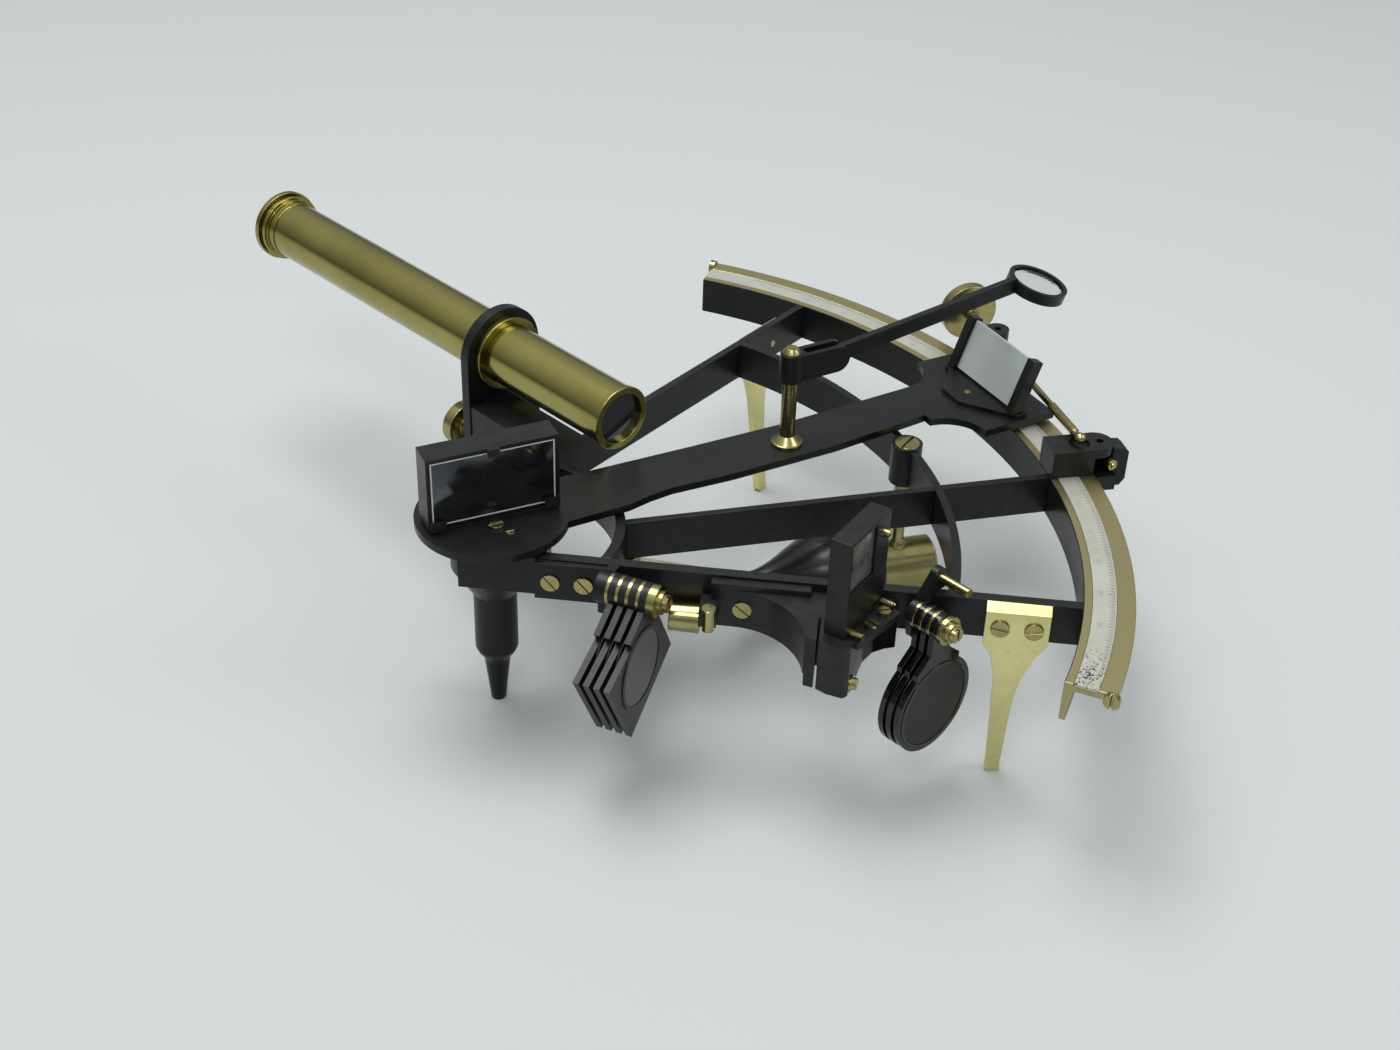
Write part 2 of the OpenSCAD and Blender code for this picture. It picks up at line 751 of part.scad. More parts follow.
module mirror_box() {
    color(black) at_mirror() difference() {
        union() {
            box([-mirror_w / 2, mirror_front, mirror_low],
                [mirror_w / 2, -mirror_front, mirror_low + mirror_h]);
            box([-mirror_w / 2 + 1, mirror_front - 0.6, arm_top],
                [mirror_w / 2 - 1, -mirror_front + 2, mirror_low]);
            for (s = [-1, 1]) translate([s * (mirror_w / 2 - 3), 0, 0])
                box([-2.6, mirror_front - 1.4, mirror_low], [2.6, mirror_front + 1, mirror_low + 3.6]);
            box([-2, mirror_front - 1, mirror_low + mirror_h - 3],
                [2, mirror_front + 1, mirror_low + mirror_h]);
        }
        box([-mirror_w / 2 + mirror_wall, mirror_front - 1 + eps, mirror_low + mirror_wall],
            [mirror_w / 2 - mirror_wall, mirror_front + mirror_glass_t,
                mirror_low + mirror_h - mirror_wall]);
    }
}

module index_mirror() {
    color(glass) at_mirror()
        box([-mirror_w / 2 + mirror_wall, mirror_front + 0.2, mirror_low + mirror_wall],
            [mirror_w / 2 - mirror_wall, mirror_front + mirror_glass_t,
                mirror_low + mirror_h - mirror_wall]);
}

module mirror_screws() {
    color(brass) at_mirror() {
        for (x = [-12, 12]) translate([x, -mirror_front, mirror_low + 8])
            rotate([-90, 0, 0]) slotted_screw(2, 1.6, 1, 0);
        translate([0, -mirror_front, mirror_low + 20]) rotate([-90, 0, 0]) slotted_screw(2, 1.6, 1, 0);
        translate([-0.8, mirror_front - 3.1, arm_top]) slotted_screw(2.4, 0.8, 1, 0);
        translate([2, mirror_front - 8.3, arm_top]) slotted_screw(1.4, 0.4, 1, 0);
    }
}

module vernier() {
    vernier_low = frame_top + pass_gap;
    color(silver) at_arm() difference() {
        ring_bar(silver_r - 2, silver_r + 3.6, vernier_low, arm_z, -7.6, 2.9);
        translate([0, 0, arm_z - 0.4]) ring_bar(silver_r + 1.9, silver_r + 5, 0, 5, -9, 4);
    }
}

screen_x = arm_end_x - 5;
screen_screw_x = arm_end_x - 11.5;
screen_y = -6.2;
screen_t = 1.4;
post_w = 3.6;
base_t = 1.6;

module reflector_base() {
    color(black) at_arm() {
        difference() {
            translate([0, 0, arm_top]) linear_extrude(base_t) difference() {
                translate([arm_end_x, 0])
                    polygon([[-18, -9.5], [-18, 1], [-8.5, 14], [-1, 14], [-1, -26.5], [-5.5, -26.5]]);
                translate([arm_end_x - 16.5, 15]) circle(r = 9);
            }
            translate([screen_screw_x, -5.4, arm_top - 1]) cylinder(r = 1.2, h = 5);
        }
        translate([screen_screw_x, -5.4, arm_top + 0.2]) cylinder(r = 1.15, h = base_t);
        translate([screen_x, screen_y, arm_top + base_t]) for (s = [-1, 1]) reflector_post(s);
    }
}

module reflector_post(s) {
    low = s > 0 ? screen_w / 2 : -screen_w / 2 - post_w;
    difference() {
        rotate([0, screen_lean, 0]) box([-2.2, low, -3], [2.2, low + post_w, screen_h + 1.5]);
        box([-20, -40, -10], [20, 40, 0]);
    }
}

module reflector_screen() {
    color([0.82, 0.86, 0.86]) at_arm() translate([screen_x, screen_y, arm_top + base_t])
        rotate([0, screen_lean, 0]) translate([0, 0, 0.8])
            box([-screen_t / 2, -screen_w / 2, 0], [screen_t / 2, screen_w / 2, screen_h]);
}

// Clamp and tangent screw

// The rod runs from the ball on the clamp to the knob, in the arm's frame
ball_seat = [limb_r - 5.2, 0.8];
ball_turn = clamp_az - arm_az;
ball_p = [
    ball_seat[0] * cos(ball_turn) - ball_seat[1] * sin(ball_turn),
    ball_seat[0] * sin(ball_turn) + ball_seat[1] * cos(ball_turn)
];
knob_p = [limb_r + 5.6, 36.1];
rod_d = knob_p - ball_p;
rod_l = norm(rod_d);
rod_az = atan2(rod_d[1], rod_d[0]);
ball_r = 2;

module at_rod() {
    at_arm() translate([ball_p[0], ball_p[1], rod_z]) rotate(rod_az) along_x() children();
}

module tangent_screw() {
    knob_t = 4;
    color(brass) at_rod() {
        sphere(r = ball_r);
        cylinder(r = rod_r, h = rod_l);
        translate([0, 0, rod_l - knob_t / 2]) cylinder(r = knob_r, h = knob_t);
        translate([0, 0, rod_l - knob_t / 2 - 3]) cylinder(r = 2.6, h = 3 + eps);
        translate([0, 0, 4]) cylinder(r = rod_r + 0.35, h = 18);
    }
}

lug_y = 16.5;
lug_r = 4.2;
rod_play = 0.55;

module tangent_lug() {
    lug_top = rod_z + 2;
    color(black) difference() {
        union() {
            at_arm() box([lug_x - 7.5, lug_y - lug_r, arm_top], [lug_x, lug_y + lug_r, lug_top]);
            at_arm() translate([lug_x, lug_y, arm_top]) cylinder(r = lug_r, h = lug_top - arm_top);
        }
        at_rod() cylinder(r = rod_r + rod_play, h = rod_l);
        at_arm() translate([lug_x, lug_y, lug_top - 3]) cylinder(r = 1.2, h = 5);
    }
}

clamp_in = limb_in;
clamp_mid = limb_r - 1;
clamp_low = -4.5;
clamp_high = 6.9;
clamp_top = 81;
clamp_lid = 3.4;
clamp_nose = [limb_r + 1.2, 1.2];
clamp_nose_r = 5.7;
jaw_out = limb_r + 7.7;
jaw_low = 64.5;
jaw_top = frame_top - flange_t - 1.2;
leg_in = limb_r + 6.5;
leg_out = limb_r + 12.2;
leg_high = 79.4;
web_y = 3.4;

module clamp_block() {
    lid_low = clamp_top - clamp_lid;
    rim_gap = 0.8;
    color(black) at_clamp() difference() {
        union() {
            box([clamp_in, clamp_low, frame_top + pass_gap], [clamp_mid, clamp_high, clamp_top]);
            box([clamp_in, clamp_low, lid_low], [clamp_nose[0], clamp_high, clamp_top]);
            translate([clamp_nose[0], clamp_nose[1], lid_low]) cylinder(r = clamp_nose_r, h = clamp_lid);
            translate([0, 5, 0]) rotate([90, 0, 0]) linear_extrude(7) polygon([
                [leg_in, jaw_low], [leg_out - 1.7, jaw_low], [leg_out, jaw_low + 2.5],
                [leg_out, leg_high - 1.8], [leg_out - 1.7, leg_high - 0.3], [leg_in, leg_high]
            ]);
            box([clamp_mid - 1, web_y, frame_top + pass_gap], [leg_in + 1, 6, lid_low]);
            box([limb_r + rim_gap, web_y, jaw_low], [leg_in + 1, 6, leg_high - 2.4]);
            box([limb_r + rim_gap, clamp_low, jaw_low], [jaw_out, 6, frame_top - 1]);
            box([limb_r - 6.5, clamp_low, jaw_low], [jaw_out, 6, jaw_top]);
        }
        translate([clamp_nose[0] + 1.2, clamp_nose[1], clamp_top - 2]) cylinder(r = 1.3, h = 4);
        translate([ball_seat[0], ball_seat[1], clamp_top - 1]) cylinder(r = 3.6, h = 3);
        at_clamp_screw() translate([0, 0, -12]) cylinder(r = clamp_screw_r + run_fit, h = 14);
    }
}

clamp_screw_r = 1.2;

module at_clamp_screw() {
    translate([limb_r + 2.4, web_y, 75]) rotate(-72) along_x() children();
}

module clamp_screw() {
    color(brass) at_clamp() at_clamp_screw() {
        translate([0, 0, -4]) cylinder(r = clamp_screw_r, h = 8);
        translate([0, 0, 0.9]) cylinder(r = 2.2, h = 1.2);
        translate([0, 0, 3]) cylinder(r = 1.9, h = 6.4);
        translate([0, 0, 9.4]) cylinder(r = 1, h = 0.8);
    }
}

module clamp_spring() {
    spring_t = 0.5;
    color(brass) at_clamp() box([limb_r - 6, 0, jaw_top], [limb_r + 0.5, 6, jaw_top + spring_t]);
}

// Horizon glass

bracket_top = 68;
bracket_low_z = 49.5;
hplate_t = 3.3;

// Corners of the bracket's flank that carries the adjusting screws
flank = [[117.8, -43.6], [119.6, -36], [121.6, -26]];

module hbracket_outline() {
    difference() {
        polygon([
            [92, -front_out], [104, -front_out - 10], [104, -40.2], [107.6, -41.2], [111.5, -43.6],
            [116.4, -44.9], flank[0], flank[1], flank[2], [124.4, -20.8], [128, -18.2], [131.4, -front_out]
        ]);
        translate([107.2, -60]) square([0.8, 30]);
    }
}

ear_pin = [73.2, -27, 57];
ear_pin_r = 1.9;
adjust_share = 0.4;

module horizon_bracket() {
    fillet_r = 24;
    fillet_c = [80, -44.1];
    color(black) difference() {
        union() {
            at_front() box([73, -front_out - hplate_t, 54], [104, -front_out, 70]);
            at_front() translate([0, 0, bracket_low_z])
                linear_extrude(bracket_top - bracket_low_z) hbracket_outline();
            at_front() difference() {
                box([81, -40.2, 54], [104.1, -front_out - 1, bracket_top]);
                translate([fillet_c[0], fillet_c[1], 0]) cylinder(r = fillet_r, h = far, $fn = 120);
            }
            at_front() box([70, -26.4, ear_pin[2] + 0.5], [75.5, -front_out - 1, ear_pin[2] + 7]);
            at_hbox() translate([0, 0, bracket_top - 2.6])
                linear_extrude(2.6)
                    polygon([[1, 1], [1.6, -3.9], [2.9, -4.6], [22.4, -7.2], [24, -2], [24, 1]]);
        }
        at_front() for (x = hbracket_screw_x)
            translate([x, -front_out - hplate_t - 1, hbracket_screw_z])
                along_y() cylinder(r = screw_shank_r, h = hplate_t + 2);
        at_front() for (x = hbracket_screw_x)
            translate([x, -front_out - hplate_t - 20, hbracket_screw_z])
                along_y() cylinder(r = screw_r + 0.2, h = 20);
        at_front() box([60, -front_out, 0], [200, 20, 100]);
        at_front() translate(ear_pin) cylinder(r = ear_pin_r, h = 20);
    }
}

hglass_low = 73.4;
hglass_in = 1.4;
hglass_y = 1.2;

module horizon_box() {
    base_low = 71.2;
    color(black) at_hbox() difference() {
        union() {
            box([0, 0, base_low], [hbox_w, hbox_d, hbox_top]);
            box([0, 0, bracket_top], [18, hbox_d, base_low + eps]);
        }
        box([hglass_in, hglass_y, hglass_low], [hbox_w - hglass_in, hbox_d + 1, hbox_top - hglass_in]);
        box([hglass_in, -1, 83.5], [16.3, 3, hbox_top - hglass_in]);
    }
}

module horizon_glass() {
    color(glass) at_hbox()
        box([hglass_in, hglass_y, hglass_low], [hbox_w - hglass_in, hglass_y + 2.6, hbox_top - hglass_in]);
}

// A place on the flank between its corners i and i + 1, with z pointing out of it
module on_flank(i, share, z) {
    side = flank[i + 1] - flank[i];
    at_front() translate([flank[i][0] + share * side[0], flank[i][1] + share * side[1], z])
        rotate(atan2(-side[0], side[1])) along_x() children();
}

module horizon_screws() {
    color(brass) {
        at_hbox() translate([18.6, 0, 97.4]) rotate([90, 0, 0]) slotted_screw(1.5, 3, 1, 0);
        for (x = [3.3, 22.6]) at_hbox() translate([x, 0, bracket_top + 1.3]) rotate([90, 0, 0]) rotate(x)
            slotted_screw(1.2, 4.6, 1, 0);
        for (x = [11.2, 19.2]) at_hbox() translate([x, -3.2, bracket_top]) rotate(7 * x)
            slotted_screw(2.1, 1.3, 1, 0);
        on_flank(0, adjust_share, 52.4) {
            cylinder(r = 2.6, h = 0.6);
            cylinder(r = 1.9, h = 2.1);
        }
        at_front() for (x = hbracket_screw_x)
            translate([x, -front_out - hplate_t, hbracket_screw_z])
                rotate([90, 0, 0]) rotate(-40)
                    slotted_screw(screw_r, 0.7, screw_shank_r, hplate_t + front_t);
    }
}

module side_stud() {
    color(brass) at_front() {
        translate([60.5, -22, 57.5]) along_x() cylinder(r1 = 4.6, r2 = 4.9, h = 9.5);
        translate(ear_pin) cylinder(r = ear_pin_r, h = 7.5);
        translate([ear_pin[0], ear_pin[1], ear_pin[2] + 7.5]) cylinder(r = ear_pin_r + 0.4, h = 1);
    }
}

// Shades

module pivot_stack(r, count, pitch, cap_r) {
    translate([-2, 0, 0]) along_x() cylinder(r = pivot_r, h = 2 + count * pitch + washer_t + 1);
    for (i = [0:count]) translate([i * pitch, 0, 0]) along_x() difference() {
        cylinder(r = r, h = washer_t);
        translate([0, 0, -1]) cylinder(r = pivot_r, h = washer_t + 2);
    }
    translate([count * pitch + washer_t, 0, 0]) along_x() slotted_cap(cap_r);
}

module slotted_cap(r) {
    difference() {
        union() {
            cylinder(r = r, h = 1.6);
            translate([0, 0, 1.6]) cylinder(r = r - 1.4, h = 1.6);
            translate([0, 0, 3.2]) cylinder(r = r - 2.4, h = 1.6);
        }
        box([-r, -0.4, 3.8], [r, 0.4, 6]);
    }
}

// A shade plate hanging from its pivot, with its face towards +x
module shade_plate(hub_r, hub_l, bore) {
    difference() {
        union() {
            along_x() cylinder(r = hub_r, h = hub_l);
            children();
        }
        translate([-1, 0, 0]) along_x() cylinder(r = pivot_r + run_fit, h = hub_l + 2);
    }
}

module square_outline() {
    h = square_side / sqrt(2);
    polygon([
        [0, h - square_reach], [h, -square_reach], [0, -square_reach - h], [-h, -square_reach],
        [-0.5 * h + 1.9, 0.42 * h - square_reach], [-0.5 * h - 0.2, 0.5 * h - square_reach - 0.2]
    ]);
}

module square_shade() {
    hub_l = square_pitch - washer_t - 2 * side_play;
    glass_r = 12.5;
    bezel_h = 0.35;
    shade_plate(square_hub_r, hub_l) difference() {
        union() {
            rotate([90, 0, 90]) linear_extrude(shade_t) square_outline();
            translate([0, 0, -square_reach]) along_x() cylinder(r = glass_r + 1.4, h = shade_t + bezel_h);
        }
        translate([-1, 0, -square_reach]) along_x() cylinder(r = glass_r, h = 10);
    }
    translate([0.4, 0, -square_reach]) along_x() cylinder(r = glass_r - run_fit, h = shade_glass_t);
}

module round_shade() {
    hub_l = round_pitch - washer_t - 2 * side_play;
    glass_r = 14.4;
    bezel_h = 0.35;
    shade_plate(round_hub_r, hub_l) difference() {
        union() {
            translate([0, 0, -round_reach]) along_x() cylinder(r = round_r, h = shade_t);
            rotate([90, 0, 90]) linear_extrude(shade_t) polygon([
                [-round_hub_r + 0.4, 0], [round_hub_r - 0.4, 0], [4.4, -9.3], [10, -round_reach + 15.8],
                [10, -round_reach + 12], [-10, -round_reach + 12], [-10, -round_reach + 15.8], [-4.4, -9.3]
            ]);
            translate([0, 0, -round_reach]) along_x() cylinder(r = glass_r + 1.2, h = shade_t + bezel_h);
        }
        translate([-1, 0, -round_reach]) along_x() cylinder(r = glass_r, h = 10);
    }
    translate([0.4, 0, -round_reach]) along_x() cylinder(r = glass_r - run_fit, h = shade_glass_t);
}

// The pivot of the index shades: x runs along the pin
square_pivot = [42.5, -front_out - 8.2, 68];
square_turn = -16.5;
module at_square() { at_front() translate(square_pivot) rotate(square_turn) children(); }

module index_shade_mount() {
    plate_t = 2;
    color(black) difference() {
        union() {
            at_front() box([17, -front_out - plate_t, frame_low], [40.5, -front_out, 70.5]);
            at_square() translate([-4, 0, 0]) along_x() cylinder(r = square_hub_r, h = 4);
            at_square() box([-4, 0, -5.2], [-0.6, 9, 3.6]);
            at_square() box([-4, -1.5, -9.5], [-0.6, 5, 0]);
        }
        at_square() translate([-5, 0, 0]) along_x() cylinder(r = pivot_r + run_fit, h = 10);
        at_front() box([0, -front_out, 40], [80, 20, 80]);
        at_front() for (x = shade_screw_x) translate([x, -front_out - plate_t - 1, shade_screw_z])
            along_y() cylinder(r = screw_shank_r + run_fit, h = plate_t + 2);
    }
}

module index_shade_pivot() {
    color(brass) {
        at_square() pivot_stack(square_hub_r, 4, square_pitch, square_hub_r);
        at_front() for (x = shade_screw_x) translate([x, -front_out - 2, shade_screw_z])
            rotate([90, 0, 0]) rotate(-50) slotted_screw(screw_r, 0.7, screw_shank_r, 2 + front_t);
    }
}

module index_shade(i) {
    color(black) at_square() translate([washer_t + side_play + i * square_pitch, 0, 0])
        rotate([-square_rest, 0, 0]) square_shade();
}

module index_shade_1() { index_shade(0); }
module index_shade_2() { index_shade(1); }
module index_shade_3() { index_shade(2); }
module index_shade_4() { index_shade(3); }

// The pivot of the horizon shades: x runs along the pin, parallel to the telescope
round_pivot = [119.9, 15.4, 66];
module at_round() { at_telescope() translate(round_pivot) children(); }

module horizon_shade_mount() {
    lug_t = 2.4;
    color(black) difference() {
        at_round() rotate([90, 0, 90]) translate([0, 0, -lug_t]) {
            linear_extrude(lug_t) polygon([
                [-round_hub_r, 0], [-3, -7.5], [14, -7.5], [14, 5], [11.6, 10.6], [9, 12.4], [6, 12.2]
            ]);
            cylinder(r = round_hub_r, h = lug_t);
            translate([8.2, 10, 0]) cylinder(r = 3.2, h = lug_t);
        }
        at_round() translate([-5, 0, 0]) along_x() cylinder(r = pivot_r, h = 10);
        at_round() translate([-5, 8.2, 10]) along_x() cylinder(r = 1.5, h = 10);
        at_front() box([0, -front_out, 0], [200, 20, frame_top]);
    }
}

module horizon_shade_pivot() {
    color(brass) at_round() {
        pivot_stack(round_hub_r, 3, round_pitch, round_hub_r + 0.2);
        translate([-2.4, 8.2, 10]) along_x() cylinder(r = 1.5, h = 14);
    }
}

module horizon_shade(i) {
    color(black) at_round() translate([washer_t + side_play + i * round_pitch, 0, 0]) round_shade();
}

module horizon_shade_1() { horizon_shade(0); }
module horizon_shade_2() { horizon_shade(1); }
module horizon_shade_3() { horizon_shade(2); }

// Handle

module at_handle() { translate([handle_x, handle_y, grip_z]) rotate(grip_az) children(); }

ferrule_in = -6.5;
foot_z = grip_z + ferrule_r - 0.8;

module handle_grip() {
    steps = 24;
    profile = [for (i = [0:steps]) [grip_bulge(i / steps), i / steps * grip_l]];
    color(black) at_handle() translate([ferrule_in, 0, 0]) along_x() translate([0, 0, -grip_l])
        rotate_extrude() polygon(concat([[0, 0]], profile, [[0, grip_l]]));
}

// Radius of the grip at the share s of its length, from the slim end to the ferrule
grip_end_r = 4;
grip_top_s = 0.62;
function grip_bulge(s) = s < grip_top_s
    ? grip_end_r + (grip_r - grip_end_r) * pow(sin(90 * s / grip_top_s), 2)
    : ferrule_r + (grip_r - ferrule_r) * pow(cos(90 * (s - grip_top_s) / (1 - grip_top_s)), 2);

module handle_ferrule() {
    color(brass) at_handle() translate([ferrule_in, 0, 0]) difference() {
        along_x() union() {
            cylinder(r = ferrule_r, h = ferrule_l);
            translate([0, 0, ferrule_l - eps]) cylinder(r1 = ferrule_r, r2 = ferrule_r - 1.5, h = 1);
        }
        translate([-ferrule_in, 0, 0]) cylinder(r = 3.6, h = 40);
    }
}

module handle_pillar() {
    color(brass) translate([handle_x, handle_y, 0]) {
        translate([0, 0, grip_z]) cylinder(r = 3.6, h = foot_z + 1 - grip_z);
        translate([0, 0, foot_z + 1]) cylinder(r1 = 3.6, r2 = 2.1, h = 2.4);
        translate([0, 0, foot_z]) cylinder(r = 2.1, h = handle_boss_z - foot_z);
        translate([0, 0, handle_boss_z - 8]) cylinder(r = 3, h = 8);
        translate([0, 0, handle_boss_z - 1]) cylinder(r = handle_shank_r, h = 9);
    }
}

// A strap from under the inner arc brace to the slim end of the grip
strap_foot = [41, -13.4];
strap_w = 6;

module handle_bracket() {
    grip_end = [handle_x, handle_y] + (ferrule_in - grip_l) * [cos(grip_az), sin(grip_az)];
    run = grip_end - strap_foot;
    plate_t = 3;
    color(brass) difference() {
        union() {
            translate([strap_foot[0], strap_foot[1], 0]) rotate(atan2(run[1], run[0]))
                translate([0, strap_w / 2, 0]) rotate([90, 0, 0]) linear_extrude(strap_w) polygon([
                    [-3.5, frame_low], [3.5, frame_low], [3.5, frame_low - 3], [norm(run) - 1, grip_z + 4],
                    [norm(run) - 1, grip_z - 3], [norm(run) - 6, grip_z - 1], [0, frame_low - 7],
                    [-3.5, frame_low - 5]
                ]);
            at_handle() translate([ferrule_in - grip_l - plate_t, 0, 0]) along_x()
                cylinder(r = 5, h = plate_t);
        }
        at_handle() box([ferrule_in - grip_l, -20, -20], [0, 20, 20]);
    }
}

module handle_screws() {
    color(brass) translate([handle_x, handle_y, handle_head_z]) rotate(35)
        slotted_screw(handle_head_r, 1.4, handle_shank_r, handle_head_z - handle_boss_z - 8);
}

limb();
silver_scale();
front_radial();
back_radial();
mid_radial();
outer_arc_brace();
inner_arc_brace();
frame_boss();
axis_cover();
front_leg();
back_leg();
leg_screws();
stop_screws();
telescope_bracket();
handle_grip();
handle_ferrule();
handle_pillar();
handle_bracket();
handle_screws();
horizon_bracket();
horizon_box();
horizon_glass();
horizon_screws();
side_stud();
index_shade_mount();
index_shade_pivot();
index_shade_1();
index_shade_2();
index_shade_3();
index_shade_4();
horizon_shade_mount();
horizon_shade_pivot();
horizon_shade_1();
horizon_shade_2();
horizon_shade_3();
telescope_riser();
telescope_collar();
telescope_tube();
objective_cell();
objective_lens();
eyepiece_tube();
eyepiece_lens();
riser_knob();
index_arm();
arm_axle();
mirror_box();
index_mirror();
mirror_screws();
vernier();
reflector_base();
reflector_screen();
magnifier_pillar();
magnifier_hub();
magnifier_arm();
magnifier_lens();
clamp_block();
clamp_spring();
clamp_screw();
tangent_screw();
tangent_lug();
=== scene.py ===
"""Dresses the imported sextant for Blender 4.5.

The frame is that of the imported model: the origin is the bottom of the centre foot on the index axis,
X bisects the limb and Z points up. Meshes, the camera and the lamps are in metres. Sizes of shapes
are written in millimetres and angles in degrees.
"""

import json
import logging
import math
from dataclasses import dataclass
from enum import Enum

import bmesh
import bpy
from mathutils import Matrix, Vector

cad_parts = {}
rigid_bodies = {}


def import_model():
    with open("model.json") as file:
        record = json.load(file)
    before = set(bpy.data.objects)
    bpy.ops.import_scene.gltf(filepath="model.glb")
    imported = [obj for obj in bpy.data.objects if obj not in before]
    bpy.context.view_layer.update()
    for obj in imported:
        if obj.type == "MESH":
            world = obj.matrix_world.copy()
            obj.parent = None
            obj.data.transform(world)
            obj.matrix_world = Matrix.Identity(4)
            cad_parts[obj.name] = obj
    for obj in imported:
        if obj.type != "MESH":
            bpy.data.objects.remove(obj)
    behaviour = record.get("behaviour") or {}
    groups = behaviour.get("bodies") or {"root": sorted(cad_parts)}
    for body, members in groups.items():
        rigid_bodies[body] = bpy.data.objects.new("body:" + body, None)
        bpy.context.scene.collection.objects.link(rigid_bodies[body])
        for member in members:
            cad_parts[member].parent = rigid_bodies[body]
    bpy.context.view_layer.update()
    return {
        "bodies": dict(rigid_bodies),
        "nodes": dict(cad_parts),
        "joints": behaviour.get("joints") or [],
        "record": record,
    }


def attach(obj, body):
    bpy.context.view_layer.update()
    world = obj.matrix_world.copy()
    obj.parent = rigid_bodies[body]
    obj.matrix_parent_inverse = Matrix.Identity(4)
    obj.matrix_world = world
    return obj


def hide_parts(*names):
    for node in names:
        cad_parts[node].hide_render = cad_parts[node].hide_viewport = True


log = logging.getLogger("sextant")

Pair = tuple[float, float]
Triple = tuple[float, float, float]

MM = 0.001
UP = Vector((0, 0, 1))

# Vertices nearer than this in metres are merged in a copied mesh, and in a spun one
COPY_WELD = 0.000002
SPIN_WELD = 0.000001
# Faces that lean less than this merge into one before edges are broken
FLAT = 0.6
# Edges sharper than this are broken
BROKEN_ANGLE = 38
# Faces that meet at less than this are shaded as one surface, on a copied and on a spun piece
COPY_SMOOTH = 34
SPIN_SMOOTH = 28
# How strongly large faces rule the shading of their corners
NORMAL_WEIGHT = 80


class Slot(Enum):
    """Material slots of the record."""

    BLACK = "black_lacquer"
    OLD_BRASS = "old_brass"
    BRASS = "polished_brass"
    TUBE = "tube_brass"
    SILVER = "silver"
    GLASS = "glass"
    MIRROR = "mirror"
    GRIP = "handle_black"


# Node trees


@dataclass(frozen=True)
class Grain:
    """A noise: how fine it is, its layers and their roughness."""

    scale: float
    detail: float = 4
    roughness: float = 0.55


@dataclass(frozen=True)
class Span:
    """A range of values and the range that it is carried to."""

    low: float
    high: float
    out_low: float = 0
    out_high: float = 1


